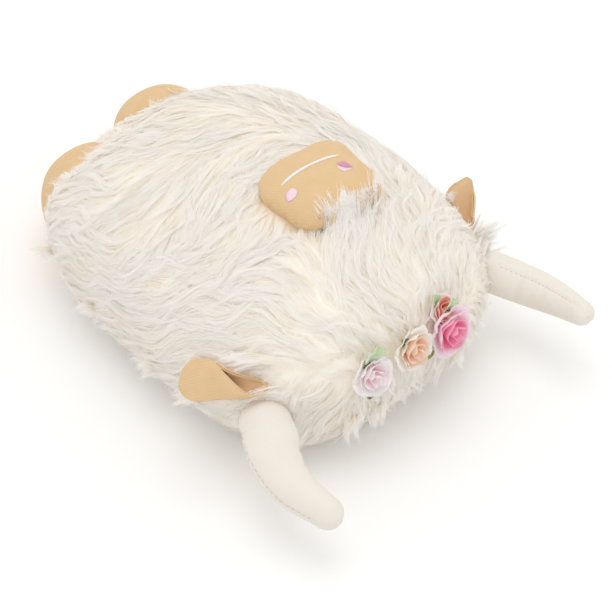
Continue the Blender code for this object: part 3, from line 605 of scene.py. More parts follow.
def lay_locks():
    """The middle line of each lock: rooted in the cloth, then lying down."""
    roots = roots_on_body(LOCKS)
    count = len(roots)
    length = lie_at(roots)[1] * dice.uniform(0.85, 1.25, count) * LONGER
    swing = 0.20 * drifting(roots, 0.05, 3) + dice.normal(0.0, 0.10, count)
    wave = 0.42 + 0.22 * drifting(roots, 0.07, 5) + dice.uniform(-0.12, 0.12, count)
    waves = dice.uniform(0.75, 1.15, count)
    start = 2.2 * drifting(roots, 0.06, 8) + dice.normal(0.0, 0.5, count)
    top = PILE_TOP + dice.normal(0.0, 0.0008, count)
    fringe = over_the_chin(roots)
    over_muzzle = 0.02 + np.maximum(fringe, 0.02) * dice.random(count) ** 2
    bank_height = MUZZLE_BANK * np.where(fringe > 0.1, 0.8, 0.25)
    far_side = roots[:, 0] > 0.0
    over_feet = dice.uniform(-0.034, 0.0, count) + np.where(far_side, 0.032, 0.0)
    foot_line = np.where(far_side, hinges["foot_right"].y, hinges["foot_left"].y)
    slowed = np.where(roots[:, 1] - foot_line > over_feet, 0.40, 0.06)
    steps = HAIR_POINTS + 1
    point = roots - outward(roots) * CLOTH_DEPTH
    lines = [point]
    for step in range(1, steps + 1):
        share = step / steps
        normal = outward(point)
        way = along_surface(lie_at(point)[0], normal)
        way = turned(way, normal, swing + wave * np.sin(math.tau * waves * share + start))
        stride = length / steps
        ahead = point + way * stride[:, None]
        held = muzzle_level(ahead) < 1.0 - over_muzzle
        for name in FOOT_SWELL:
            away = ahead - np.array(hinges[name])
            beside = np.abs(away[:, 0]) < FOOT_RADIUS + FOOT_BESIDE
            held |= beside & (away[:, 1] > over_feet) & (ahead[:, 2] > 0.02)
        stride = np.where(held, slowed * stride, stride)
        point = point + way * stride[:, None]
        rise = 1.0 - math.exp(-share / LOCK_RISE)
        droop = LOCK_DROOP * share**2
        apart = np.maximum(muzzle_level(point) - 1.0, 0.0) * MUZZLE_HALF[0]
        bank = bank_height * np.exp(-((apart / BANK_WIDTH) ** 2))
        height = -CLOTH_DEPTH + (CLOTH_DEPTH + top + bank) * rise - droop
        point = point + outward(point) * (height - on_grid(outside, point))[:, None]
        lines.append(point)
    return roots, np.stack(lines, 1)


def owners(roots, parts):
    """The nearest of the parts to each root."""
    tree = KDTree(len(roots))
    for index, root in enumerate(roots):
        tree.insert(root, index)
    tree.balance()
    return np.array([tree.find(part)[1] for part in parts])


def grow_tuft(place, way, length, spread):
    """A few loose wisps of hairs that curve away from the pile, and their normals."""
    start = place - outward(place[None])[0] * on_grid(outside, place[None])[0]
    share = np.linspace(0.0, 1.0, HAIR_POINTS)
    made = []
    for _ in range(TUFT_WISPS):
        spot = start + dice.normal(0.0, spread / 2500.0, 3)
        lie = unit(lie_at(spot[None])[0][0])
        bent = unit(way + dice.normal(0.0, 0.22, 3))
        reach = length / 1000.0 * dice.uniform(0.5, 1.1)
        turn = share[:, None] ** 0.8
        middle = spot + reach * np.cumsum((1 - turn) * lie + turn * bent, 0) / HAIR_POINTS
        count = int(dice.integers(14, 34))
        aside = dice.normal(0.0, 0.0016, (count, 1, 3)) * (1.0 - 0.6 * share[None, :, None])
        stretch = 1.0 + 0.15 * dice.normal(size=(count, 1, 1))
        made.append(spot + (middle[None] - spot) * stretch + aside)
    made = np.concatenate(made)
    return made, outward(made.reshape(-1, 3)).reshape(made.shape)


def grow_hairs():
    """Hairs that draw together into wisps and locks; also their normals and tints."""
    lock_roots, lock_lines = lay_locks()
    wisp_roots = roots_on_body(WISPS)
    roots = roots_on_body(HAIRS)
    count = len(roots)
    wisp = owners(wisp_roots, roots)
    owner = owners(lock_roots, wisp_roots)[wisp]
    stray = dice.random(count) < STRAY_SHARE
    lengthen = dice.uniform(0.75, 1.0, len(wisp_roots))[wisp] * dice.uniform(0.85, 1.08, count)
    share = np.linspace(0.0, 1.0, HAIR_POINTS)
    last = lock_lines.shape[1] - 1
    spot = np.clip(share[None, :] * lengthen[:, None], 0, 1) * last
    cell = np.minimum(spot.astype(int), last - 1)
    part = (spot - cell)[..., None]
    line = lock_lines[owner[:, None], cell] * (1 - part)
    line = line + lock_lines[owner[:, None], cell + 1] * part
    drawing = 1.0 - np.exp(-share[None, :] * 2.6)
    draw = LOCK_DRAW * dice.uniform(0.4, 1.5, len(wisp_roots))[wisp]
    aside = (wisp_roots[wisp] - lock_roots[owner])[:, None, :]
    points = line + aside * (1.0 - draw[:, None] * drawing)[..., None]
    draw = np.where(stray, 0.0, WISP_DRAW * dice.uniform(0.7, 1.3, count))
    aside = (roots - wisp_roots[wisp])[:, None, :]
    points = points + aside * (1.0 - draw[:, None] * drawing)[..., None]
    sway = dice.normal(0.0, WISP_SWAY, (len(wisp_roots), 1, 3))[wisp]
    points = points + sway * share[None, :, None] ** 1.5
    flat = points.reshape(-1, 3)
    normal = outward(flat).reshape(points.shape)
    height = on_grid(outside, line.reshape(-1, 3)) - on_grid(outside, flat)
    points = points + 0.9 * normal * height.reshape(count, -1, 1)
    lift = dice.normal(0.0, 0.0004, count)[:, None] * share[None, :]
    flick = np.where(dice.random(len(wisp_roots)) < FLICK_SHARE, 1.0, 0.0)[wisp]
    flick = flick * dice.uniform(FLICK_LOW, FLICK_HIGH, len(wisp_roots))[wisp]
    lift = lift + flick[:, None] * share[None, :] ** 2.5
    points = points + normal * lift[..., None]
    drift = dice.normal(0.0, HAIR_DRIFT, (count, 1, 3)) * share[None, :, None] ** 1.3
    points = points + drift
    for *spot, x, y, z, length, spread in TUFTS:
        way = unit(np.array((x, y, z)))
        made, facing = grow_tuft(np.array(spot) / 1000.0, way, length, spread)
        points = np.concatenate((points, made))
        normal = np.concatenate((normal, facing))
        line = np.concatenate((line, made - 0.002 * facing))
        wisp = np.concatenate((wisp, np.full(len(made), int(wisp[0]))))
    climbs = over_the_chin(points[:, 0]) > 0.05
    points = clear_of_pieces(points, climbs, HAIR_OVER_PIECES)
    points[..., 2] = np.maximum(points[..., 2], FLOOR_GAP)
    normal = unit(normal + ROUND_LOCK * (points - line) / 0.004)
    own = 0.20 * dice.normal(size=len(points))
    own = own + 0.12 * dice.normal(size=len(wisp_roots))[wisp]
    return points, normal, np.clip(0.5 + own, 0.02, 0.98)


def grow_undercoat():
    """Short soft hairs that fill the pile between the locks."""
    roots = roots_on_body(SOFT_HAIRS)
    share = np.linspace(0.0, 1.0, SOFT_HAIR_POINTS)
    length = dice.uniform(0.007, 0.014, len(roots))
    swing = dice.normal(0.0, 0.45, len(roots))
    point = roots
    lines = []
    for step in range(SOFT_HAIR_POINTS):
        normal = outward(point)
        way = turned(along_surface(lie_at(point)[0], normal), normal, swing)
        depth = CLOTH_DEPTH * (1.0 - share[step]) ** 2 + 0.0011
        lines.append(point + normal * (-depth - on_grid(outside, point))[:, None])
        point = point + way * (length / (SOFT_HAIR_POINTS - 1))[:, None]
    points = np.stack(lines, 1)
    points[..., 2] = np.maximum(points[..., 2], FLOOR_GAP)
    facing = outward(points.reshape(-1, 3)).reshape(points.shape)
    return points, facing, np.clip(0.5 + 0.2 * dice.normal(size=len(roots)), 0.02, 0.98)


def ribbons(name, points, normal, tint, width):
    """One mesh of thin ribbons, with tint and place along the hair as its map."""
    count, steps = points.shape[:2]
    ahead = unit(np.gradient(points, axis=1))
    normal = unit(normal - 0.85 * (normal * ahead).sum(-1, keepdims=True) * ahead)
    side = unit(np.cross(ahead, normal))
    lean = np.cross(ahead, side)
    roll = dice.uniform(-0.3, 0.3, count)[:, None, None]
    side = side * np.cos(roll) + lean * np.sin(roll)
    share = np.linspace(0.0, 1.0, steps)
    half = width / 2 * (1.0 - 0.82 * share**2)[None, :, None]
    edges = np.stack((points - side * half, points + side * half), 2).reshape(-1, 3)
    edges[:, 2] = np.maximum(edges[:, 2], 0.0001)
    first = (np.arange(count)[:, None] * steps + np.arange(steps - 1)[None, :]) * 2
    quads = np.stack((first, first + 1, first + 3, first + 2), -1).reshape(-1, 4)
    mesh = bpy.data.meshes.new(name)
    mesh.vertices.add(len(edges))
    mesh.vertices.foreach_set("co", edges.astype(np.float32).ravel())
    mesh.loops.add(quads.size)
    mesh.loops.foreach_set("vertex_index", quads.astype(np.int32).ravel())
    mesh.polygons.add(len(quads))
    mesh.polygons.foreach_set("loop_start", np.arange(0, quads.size, 4, dtype=np.int32))
    mesh.polygons.foreach_set("loop_total", np.full(len(quads), 4, np.int32))
    mesh.update(calc_edges=True)
    across = np.stack((tint - 0.006, tint + 0.006), -1)[:, None, :].repeat(steps, 1)
    along = np.broadcast_to((0.01 + 0.98 * share)[None, :, None], across.shape)
    layer = mesh.uv_layers.new(name="OFBake")
    places = np.stack((across, along), -1).reshape(-1, 2)[quads.ravel()]
    layer.data.foreach_set("uv", places.astype(np.float32).ravel())
    mesh.shade_smooth()
    mesh.normals_split_custom_set_from_vertices(np.repeat(normal.reshape(-1, 3), 2, axis=0))
    return mesh


def lay_pile(name, points, normals, tints, width):
    """A share of the hairs as one piece, fast in the body's cloth."""
    pile = shape_object(name, ribbons(name, points, normals, tints, width))
    pile.data.materials.append(fur.material)
    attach(pile, "torso")


fur = Finish("ivory_fur", 0.75)
# Along each hair its colour runs from a deeper, warmer cream at the root to near white at the tip:
# partly the hair's own tone, partly painted shade in the hollows between the locks. Across the map
# is each hair's own random tint.
painted_root_shade_and_tint = fur.on_map(1) + (fur.on_map(0) - 0.5) * 0.18
roots, tips = (0.98, 0.935, 0.835), (0.99, 0.981, 0.975)
low, high = (0.985, 0.962, 0.918), (0.988, 0.973, 0.957)
fur.colour(fur.ramp(painted_root_shade_and_tint, (0.0, roots), (0.3, low), (0.65, high), (1.0, tips)))
fur.let_through(0.32, (0.99, 0.975, 0.955))

fur_backing = Finish("fur_backing", 0.95)
fur_backing.colour(
    fur_backing.mix(fur_backing.noise(0.004), (0.97, 0.935, 0.85), (0.98, 0.96, 0.90))
)
under_the_pile = body_skin.modifiers.new("under_the_pile", "DISPLACE")
under_the_pile.strength = CLOTH_THICKNESS - CLOTH_DEPTH
under_the_pile.mid_level = 0.0
settled(body_skin)
for vert in body_skin.data.vertices:
    vert.co.z = max(vert.co.z, FLOOR_GAP)
body_skin.data.materials.append(fur_backing.material)
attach(body_skin, "torso")
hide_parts("body_front_panel", "body_back_panel", "body_stuffing")

soft_hairs = grow_undercoat()
near = soft_hairs[0][:, 0, 0] < 0.0
for name, rows in (("undercoat_near", near), ("undercoat_far", ~near)):
    lay_pile(name, *(values[rows] for values in soft_hairs), SOFT_HAIR_WIDTH)

hairs = grow_hairs()
middles = hairs[0].mean(1)
quarters = np.searchsorted(np.quantile(middles[:, 1], (0.25, 0.5, 0.75)), middles[:, 1])
for quarter, part_name in enumerate(("crown", "chest", "belly", "seat")):
    rows = quarters == quarter
    near = middles[:, 0] < np.median(middles[rows, 0])
    for side_name, side in (("near", near), ("far", ~near)):
        chosen = (values[rows & side] for values in hairs)
        lay_pile("pile_" + part_name + "_" + side_name, *chosen, HAIR_WIDTH)


# Muzzle: a pad of tan knitted velour with soft corners, filled with loose fibre
# and sewn on over the pile round its drawn-in edge
MUZZLE_AROUND, MUZZLE_ROWS = 96, 48
VELOUR_RIB = 0.0009


def round_form(name, around, rings, point):
    """A closed form; point(along from 0 to 1, turn) gives each of its points."""
    points = [point(0.0, 0.0)]
    for ring in range(1, rings):
        for step in range(around):
            points.append(point(ring / rings, math.tau * step / around))
    points.append(point(1.0, 0.0))
    faces = []
    for step in range(around):
        after = (step + 1) % around
        faces.append((0, 1 + after, 1 + step))
        for ring in range(rings - 2):
            a = 1 + ring * around
            faces.append((a + step, a + after, a + around + after, a + around + step))
        last = 1 + (rings - 2) * around
        faces.append((last + step, last + after, len(points) - 1))
    mesh = bpy.data.meshes.new(name)
    mesh.from_pydata([tuple(p) for p in points], [], faces)
    bm = bmesh.new()
    bm.from_mesh(mesh)
    bmesh.ops.recalc_face_normals(bm, faces=bm.faces)
    bm.to_mesh(mesh)
    bm.free()
    mesh.shade_smooth()
    return mesh


def velour(name, light, dark, ribs_along):
    """Short-pile knitted velour: fine ribs one way, brushed a little unevenly."""
    made = Finish(name, Sheen_Weight=0.06, Sheen_Roughness=0.5)
    turned_to = {"Vector": made.place(), "Rotation": ribs_along}
    sockets = {
        "Vector": made.node("ShaderNodeMapping", {}, turned_to),
        "Scale": 1.0 / VELOUR_RIB / 20.0 * math.pi,
        "Distortion": 1.2,
        "Detail": 1.0,
        "Detail Scale": 2.0,
    }
    bands = {"wave_type": "BANDS", "bands_direction": "DIAGONAL"}
    ribs = made.node("ShaderNodeTexWave", bands, sockets, output=1)
    nap = made.noise(0.0006, detail=2.0)
    brushed = made.between(made.noise(0.012, detail=2.0), 0.3, 0.7)
    made.cloth = made.mix(brushed * 0.45 + ribs * 0.30 + nap * 0.25, dark, light)
    made.colour(made.cloth)
    made.raise_by(ribs * 0.6 + nap * 0.8, 0.00018)
    return made


def muzzle_point(along, turn):
    """Plump in the middle, with soft corners and a drawn-in sewn edge."""
    polar = math.pi * along
    across, up = rounded(turn, MUZZLE_CORNERS)
    belly = math.sin(polar) ** (2.0 / MUZZLE_SQUARENESS)
    pucker = 1.0 + 0.006 * math.sin(26 * turn) * math.exp(-(((along - 0.5) / 0.06) ** 2))
    round_to = math.atan2(MUZZLE_HALF[1] * up, MUZZLE_HALF[0] * across)
    pucker *= float(np.interp(round_to, MUZZLE_TURNS, MUZZLE_EDGE, period=math.tau))
    x = MUZZLE_HALF[0] * belly * across * pucker
    y = MUZZLE_HALF[1] * belly * up * pucker
    z = -MUZZLE_HALF[2] * math.cos(polar)
    return MUZZLE_MIDDLE + Matrix.Rotation(MUZZLE_TURN, 3, "Z") @ Vector((x, y, z))


tan_velour = velour("tan_velour", (0.785, 0.565, 0.325), (0.725, 0.505, 0.275), (0.4, 0.2, 0.6))
muzzle = shape_object("muzzle", round_form("muzzle", MUZZLE_AROUND, MUZZLE_ROWS, muzzle_point))
muzzle.data.materials.append(tan_velour.material)
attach(muzzle, "torso")
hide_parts("muzzle_cover", "muzzle_stuffing")
muzzle_tree = BVHTree.FromObject(muzzle, bpy.context.evaluated_depsgraph_get())


# Smile: close slanting satin stitches in white thread, sewn through the cover
# of the muzzle along a shallow bow
SMILE_ENDS = ((-0.0236, -0.0750), (0.0264, -0.0806))
SMILE_BOW = 0.0012
SMILE_WIDTH = 0.0025
SMILE_STITCHES = 150
SMILE_SLANT = 0.35
SMILE_THREAD = 0.00022


def on_muzzle(x, y, above):
    """The point a little above the muzzle's surface, straight under a place."""
    point, normal, _, _ = muzzle_tree.ray_cast(Vector((x, y, 1.0)), Vector((0, 0, -1)))
    return point + normal * above


def threads(name, paths, radius, sides=5):
    """One mesh of fine round threads along paths of points."""
    bm = bmesh.new()
    turns = [math.tau * k / sides for k in range(sides)]
    for path in paths:
        rings = []
        for index, point in enumerate(path):
            ahead = path[min(index + 1, len(path) - 1)] - path[max(index - 1, 0)]
            turn_to = ahead.to_track_quat("Z", "Y").to_matrix()
            thin = radius * (0.45 if index in (0, len(path) - 1) else 1.0)
            rim = [Vector((thin * math.cos(turn), thin * math.sin(turn), 0.0)) for turn in turns]
            rings.append([bm.verts.new(point + turn_to @ spot) for spot in rim])
        for first, second in zip(rings, rings[1:]):
            for k in range(sides):
                after = (k + 1) % sides
                bm.faces.new((first[k], first[after], second[after], second[k]))
        bm.faces.new(list(reversed(rings[0])))
        bm.faces.new(rings[-1])
    mesh = bpy.data.meshes.new(name)
    bm.to_mesh(mesh)
    bm.free()
    mesh.shade_smooth()
    return mesh


def satin(name, colour, painted_shade_colour):
    """Shiny embroidery thread, painted a little darker in spots as shade between its turns."""
    made = Finish(name, 0.45, Sheen_Weight=0.2)
    made.colour(made.mix(made.noise(0.0011, detail=1.0), painted_shade_colour, colour))
    made.raise_by(made.noise(0.0004, detail=1.0), 0.00006)
    return made


def smile_stitches():
    """The stitches, shorter towards both ends."""
    paths = []
    low, high = SMILE_ENDS
    for index in range(SMILE_STITCHES):
        share = (index + 0.5) / SMILE_STITCHES
        x = low[0] + (high[0] - low[0]) * share
        y = low[1] + (high[1] - low[1]) * share
        y += SMILE_BOW * (1.0 - (2.0 * share - 1.0) ** 2)
        narrow = min(1.0, 6.0 * min(share, 1.0 - share) + 0.35)
        path = []
        for step in range(5):
            across = (step / 4 - 0.5) * SMILE_WIDTH * narrow
            arch = 0.0003 * math.cos(math.pi * (step / 4 - 0.5))
            path.append(on_muzzle(x + SMILE_SLANT * across, y + across, arch + 0.00012))
        paths.append(path)
    return paths


white_thread = satin("white_thread", (0.97, 0.96, 0.94), (0.88, 0.86, 0.83))
smile = shape_object("smile", threads("smile", smile_stitches(), SMILE_THREAD))
smile.data.materials.append(white_thread.material)
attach(smile, "torso")
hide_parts("smile_embroidery")


# Nostrils: two ovals of satin stitch in pink thread, sewn through the cover of
# the muzzle. The right one is deeper pink with a pale edge, and ends in a point

# Place, half length, half width, lean, and how much the far end is pointed
NOSTRIL_LEFT = (-0.0242, -0.0866, 0.0042, 0.0044, 0.785, 0.05)
NOSTRIL_RIGHT = (0.0206, -0.0936, 0.0056, 0.0060, -0.85, 0.60)
NOSTRIL_STITCHES = 26
NOSTRIL_THREAD = 0.00024
PALE_EDGE = -0.35


def nostril_stitches(x, y, half_length, half_width, lean, point_share, first, last):
    """Stitches across an oval, or a part of it, that comes to a point at one end."""
    paths = []
    for index in range(NOSTRIL_STITCHES):
        along = 2.0 * (index + 0.5) / NOSTRIL_STITCHES - 1.0
        narrow = math.sqrt(1.0 - along**2)
        if along > 0.0:
            narrow *= 1.0 - point_share * along
        path = []
        for step in range(7):
            over = first + (last - first) * step / 6
            across = over * half_width * narrow
            dx = half_length * along * math.cos(lean) - across * math.sin(lean)
            dy = half_length * along * math.sin(lean) + across * math.cos(lean)
            arch = 0.0005 * math.cos(math.pi / 2 * over / 1.1)
            path.append(on_muzzle(x + dx, y + dy, arch + 0.0001))
        paths.append(path)
    return paths


pink_thread = satin("pink_thread", (0.97, 0.82, 0.87), (0.92, 0.66, 0.75))
rose_thread = satin("rose_thread", (0.86, 0.44, 0.60), (0.76, 0.32, 0.48))
pale_thread = satin("pale_thread", (0.98, 0.88, 0.90), (0.95, 0.74, 0.80))
for name, spot, first, last, thread, nodes in (
    ("nostril_left", NOSTRIL_LEFT, -1.0, 1.0, pink_thread, ["nostril_left"]),
    ("nostril_right", NOSTRIL_RIGHT, PALE_EDGE, 1.0, rose_thread, ["nostril_right"]),
    ("nostril_right_edge", NOSTRIL_RIGHT, -1.0, PALE_EDGE, pale_thread, []),
):
    name += "_stitches"
    stitches = threads(name, nostril_stitches(*spot, first, last), NOSTRIL_THREAD)
    nostril = shape_object(name, stitches)
    nostril.data.materials.append(thread.material)
    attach(nostril, "torso")
    if nodes:
        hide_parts(*nodes)


# Horns: cream fleece, each of two panels with a seam down both edges, closed by
# small hand stitches, stuffed firmly, gathered at the tip, and sewn to the crown
HORN_LENGTH = 0.098
HORN_TIP_RADIUS = 0.0115
HORN_BEND = math.radians(43)
HORN_ROOT_SHARE = 0.16
HORN_AROUND, HORN_ROWS, HORN_STEPS = 56, 84, 200
# Along the horn: how far its inner side, outer side and faces are from the middle
HORN_GIRTHS = {
    "left": (
        (0.00, 0.0185, 0.0175, 0.0165), (0.15, 0.0215, 0.0178, 0.0168),
        (0.30, 0.0205, 0.0168, 0.0162), (0.45, 0.0192, 0.0145, 0.0152),
        (0.70, 0.0160, 0.0135, 0.0140), (1.00, 0.0118, 0.0105, 0.0115),
    ),
    "right": (
        (0.00, 0.0175, 0.0175, 0.0160), (0.15, 0.0185, 0.0180, 0.0160),
        (0.30, 0.0165, 0.0180, 0.0155), (0.45, 0.0165, 0.0178, 0.0150),
        (0.70, 0.0140, 0.0155, 0.0125), (1.00, 0.0085, 0.0105, 0.0095),
    ),
}
# For each side: which way it goes, how it splays, droops and twists in degrees,
# the turn of its seam, and its creases: place, depth, width and facing
HORNS = {
    "left": (
        -1, (31.0, 9.0, -5.0), 0.0,
        ((0.34, 0.0012, 0.05, 3.1), (0.55, 0.0009, 0.04, 3.4), (0.10, 0.0010, 0.05, 0.4)),
    ),
    "right": (
        1, (21.0, 5.0, 34.0), -0.55,
        ((0.30, 0.0016, 0.035, 3.0), (0.46, 0.0010, 0.05, 3.3), (0.62, 0.0007, 0.04, 3.0)),
    ),
}
SEAM_STITCHES = 19
SEAM_FROM, SEAM_STRIDE, SEAM_STITCH = 0.22, 0.030, 0.008
SEAM_PROUD = 1.012
SEAM_THREAD = 0.00036


def horn_line(share):
    """A point of the horn's middle line, and its heading from the root."""
    x = y = heading = 0.0
    for step in range(40):
        here = (step + 0.5) * share / 40
        heading = -HORN_BEND * max(0.0, min(1.0, (here - 0.25) / 0.45))
        x += share / 40 * HORN_LENGTH * math.sin(heading)
        y -= share / 40 * HORN_LENGTH * math.cos(heading)
    return Vector((x, y, 0.0)), heading


horn_lines = [horn_line(k / HORN_STEPS) for k in range(HORN_STEPS + 1)]


def horn_girths(side_name):
    """The girths at even steps along the horn, with their corners rounded."""
    rows = np.array(HORN_GIRTHS[side_name])
    along = np.linspace(0, 1, HORN_STEPS + 1)
    even = [np.interp(along, rows[:, 0], rows[:, k]) for k in (1, 2, 3)]
    kernel = np.hanning(41) / np.hanning(41).sum()
    return np.stack([np.convolve(np.pad(row, 20, "edge"), kernel, "valid") for row in even])


def horn_point(along, turn, creases, girths, seam_turn):
    """A round root, a flattened taper along the line, a gathered tip."""
    run, cap, root = along, 0.0, 1.0
    if along <= HORN_ROOT_SHARE:
        polar = along / HORN_ROOT_SHARE * math.pi / 2
        run, root = 0.0, math.sin(polar)
    else:
        share = (along - HORN_ROOT_SHARE) / (1.0 - HORN_ROOT_SHARE)
        cap = max(0.0, (share - 0.78) / 0.22)
        run = min(1.0, share / 0.78)
    here = run * (1.0 - HORN_TIP_RADIUS / HORN_LENGTH) * HORN_STEPS
    (spot, heading), (next_spot, next_heading) = horn_lines[int(here) : int(here) + 2]
    middle = spot.lerp(next_spot, here % 1.0)
    heading = heading * (1 - here % 1.0)
    heading += next_heading * (here % 1.0)
    places = np.arange(HORN_STEPS + 1)
    inner, outer, thick = (float(np.interp(run * HORN_STEPS, places, row)) for row in girths)
    wide = outer if math.cos(turn) > 0.0 else inner
    angle = cap * math.pi / 2
    wide *= root * math.cos(angle)
    thick *= root * math.cos(angle)
    ahead = Vector((math.sin(heading), -math.cos(heading), 0.0))
    middle = middle + ahead * float(girths[2][-1]) * 1.05 * math.sin(angle)
    if root < 1.0:
        middle = middle - ahead * 0.015 * math.cos(polar)
    seam = abs(math.sin(turn - seam_turn)) * thick
    groove = 0.0008 * math.exp(-((seam / 0.0014) ** 2)) * min(1.0, run * 6)
    pucker = 0.00022 * math.sin(run * 95) * math.exp(-((seam / 0.006) ** 2)) * (1 - cap)
    gather = 0.0008 * cap**2 * math.sin(9 * turn) * math.cos(angle)
    dent = 0.0
    for place, depth, width, facing in creases:
        near = math.exp(-(((run - place) / width) ** 2))
        dent += depth * near * max(0.0, math.cos(turn - facing)) ** 2
    loss = (groove + dent - pucker + gather) * root
    side = Vector((math.cos(heading), math.sin(heading), 0.0))
    across = (wide - loss) * math.cos(turn)
    return middle + across * side + Vector((0.0, 0.0, (thick - loss) * math.sin(turn)))


fleece = Finish("cream_fleece", 0.92, Sheen_Weight=0.2, Sheen_Roughness=0.6)
fleece_nap = fleece.noise(0.0011, detail=3.0, roughness=0.6)
fleece_wear = fleece.noise(0.02, detail=2.0)
fleece.colour(
    fleece.mix(fleece_nap * 0.5 + fleece_wear * 0.5, (0.810, 0.748, 0.660), (0.865, 0.823, 0.762))
)
fleece.raise_by(fleece_nap, 0.00025)
seam_thread = satin("seam_thread", (0.74, 0.67, 0.57), (0.66, 0.59, 0.49))

for side_name, (side, angles, seam_turn, creases) in HORNS.items():
    name = "horn_" + side_name
    splay, droop, twist = (math.radians(angle) for angle in angles)
    place = (
        Matrix.Translation(hinges[name])
        @ Matrix.Diagonal((side, 1.0, 1.0, 1.0))
        @ Matrix.Rotation(splay, 4, "Z")
        @ Matrix.Rotation(droop, 4, "X")
        @ Matrix.Rotation(twist, 4, "Y")
    )
    girths = horn_girths(side_name)

    def horn_here(along, turn, more=1.0):
        return horn_point(along, turn, creases, girths * more, seam_turn)

    horn_mesh = round_form(name, HORN_AROUND, HORN_ROWS, horn_here)
    horn_mesh.transform(place)
    if side < 0:
        horn_mesh.flip_normals()
    horn = shape_object(name, horn_mesh)
    horn.data.materials.append(fleece.material)
    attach(horn, name)
    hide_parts(name + "_front_panel", name + "_back_panel", name + "_stuffing")

    paths = []
    for facing in (seam_turn, seam_turn + math.pi):
        for stitch in range(SEAM_STITCHES):
            spots = [SEAM_FROM + SEAM_STRIDE * stitch + SEAM_STITCH * step for step in range(3)]
            paths.append([place @ horn_here(spot, facing, SEAM_PROUD) for spot in spots])
    seam = shape_object(name + "_seam", threads(name + "_seam", paths, SEAM_THREAD))
    seam.data.materials.append(seam_thread.material)
    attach(seam, name)


# Feet: two plump lobes of the same tan velour, filled with loose fibre, drawn in
# at the root and sewn into the lower end, with the belly's pile lying over them
FOOT_AROUND, FOOT_ROWS = 64, 40
FOOT_DIMPLE = 0.0005

for side_name in ("left", "right"):
    name = "foot_" + side_name
    middle = hinges[name]

    def foot_point(along, turn):
        polar = math.pi * along
        out = math.sin(polar)
        way = Vector((out * math.cos(turn), -math.cos(polar), out * math.sin(turn)))
        soft = FOOT_DIMPLE * math.sin(5 * turn + 2.0) * out**2 - FOOT_DIMPLE
        return middle + (float(foot_reach(name, np.array(way))) + soft) * way

    foot = shape_object(name, round_form(name, FOOT_AROUND, FOOT_ROWS, foot_point))
    foot.data.materials.append(tan_velour.material)
    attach(foot, name)
    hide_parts(name + "_cover", name + "_stuffing")


# Ears: a leaf of tan velour and a darker lining, sewn round the edge and turned,
# then folded, gathered at the root and sewn in at the side of the crown. The
# left ear's front is turned over into a cup. Towards the root the lining is
# darker still: painted shade in the hollow of the fold

# Along each ear, in millimetres: how far its lower and upper edges are from the
# middle, and how high both edges are folded up
EAR_SHAPES = {
    "left": (
        (-9.0, 2.2, 2.5, 0.5), (-3.0, 4.6, 6.0, 1.0), (4.0, 6.2, 8.0, 3.0),
        (10.0, 7.8, 8.6, 6.0), (16.0, 9.6, 9.0, 7.5), (20.5, 11.8, 9.2, 7.0),
        (26.0, 15.6, 9.8, 4.5), (31.0, 17.6, 10.6, 2.4), (36.0, 18.5, 11.2, 1.6),
        (40.3, 18.5, 11.0, 1.2), (43.7, 17.3, 10.4, 1.0), (47.0, 14.5, 8.9, 0.8),
        (49.6, 9.4, 6.0, 0.5), (51.0, 4.5, 3.2, 0.3), (51.5, 1.2, 1.0, 0.1),
    ),
    "right": (
        (0.5, 3.0, 3.0, 3.5), (6.0, 4.8, 5.2, 6.0), (14.0, 7.8, 7.7, 6.5),
        (25.0, 10.6, 9.9, 5.0), (34.0, 11.4, 11.8, 3.4), (41.0, 12.6, 10.6, 2.4),
        (46.0, 13.2, 7.6, 1.8), (49.5, 13.4, 3.4, 1.2), (52.0, 13.2, -1.2, 0.8),
        (54.0, 12.2, -5.7, 0.4), (55.2, 10.8, -9.2, 0.1),
    ),
}
# Along the left ear: how far up its front is sewn over the hollow
EAR_FRONT = (
    (-9.0, -1.8), (1.3, -6.6), (7.0, -4.2), (13.0, 0.4), (20.4, 7.8), (25.0, 13.6), (28.5, 16.6),
    (36.0, 18.3), (40.3, 18.3), (43.7, 17.1), (47.0, 14.3), (49.6, 9.2), (51.5, 1.0),
)
EAR_ROWS, EAR_COLUMNS, EAR_FRONT_COLUMNS = 44, 25, 19
# Each leaf as it was cut: its width, its length and its flat area
EAR_CUTS = {
    "ear_left": (0.052, 0.064, 0.0026),
    "ear_left_inside": (0.030, 0.063, 0.00126),
    "ear_right": (0.028, 0.057, 0.0012),
    "ear_right_inside": (0.028, 0.055, 0.00105),
}
# For each side: which way it goes, how it is swept back and how it leans
EARS = {"left": (-1, 44.0, 50.0), "right": (1, 57.0, 105.0)}


def cloth_mesh(name, grids):
    """One mesh of grids of points, each mapped over the whole square."""
    points, faces, places = [], [], []
    for grid in grids:
        rows, columns = grid.shape[:2]
        base = len(points)
        points.extend(tuple(p) for p in grid.reshape(-1, 3))
        for i in range(rows - 1):
            for j in range(columns - 1):
                a = base + i * columns + j
                faces.append((a, a + 1, a + columns + 1, a + columns))
                for di, dj in ((0, 0), (0, 1), (1, 1), (1, 0)):
                    across, along = (j + dj) / (columns - 1), (i + di) / (rows - 1)
                    places.append((0.01 + 0.98 * across, 0.01 + 0.98 * along))
    mesh = bpy.data.meshes.new(name)
    mesh.from_pydata(points, [], faces)
    layer = mesh.uv_layers.new(name="OFBake")
    layer.data.foreach_set("uv", np.array(places, np.float32).ravel())
    mesh.shade_smooth()
    return mesh


def along_ear(side_name, start, stop):
    """Even rows along an ear: how far out each is, its two edges and its fold."""
    rows = np.array(EAR_SHAPES[side_name]) / 1000.0
    share = np.linspace(start, stop, EAR_ROWS) ** 0.9
    far = np.interp(share, np.linspace(0, 1, len(rows)), rows[:, 0])[:, None]
    return (far, *(np.interp(far, rows[:, 0], rows[:, k]) for k in (1, 2, 3)))


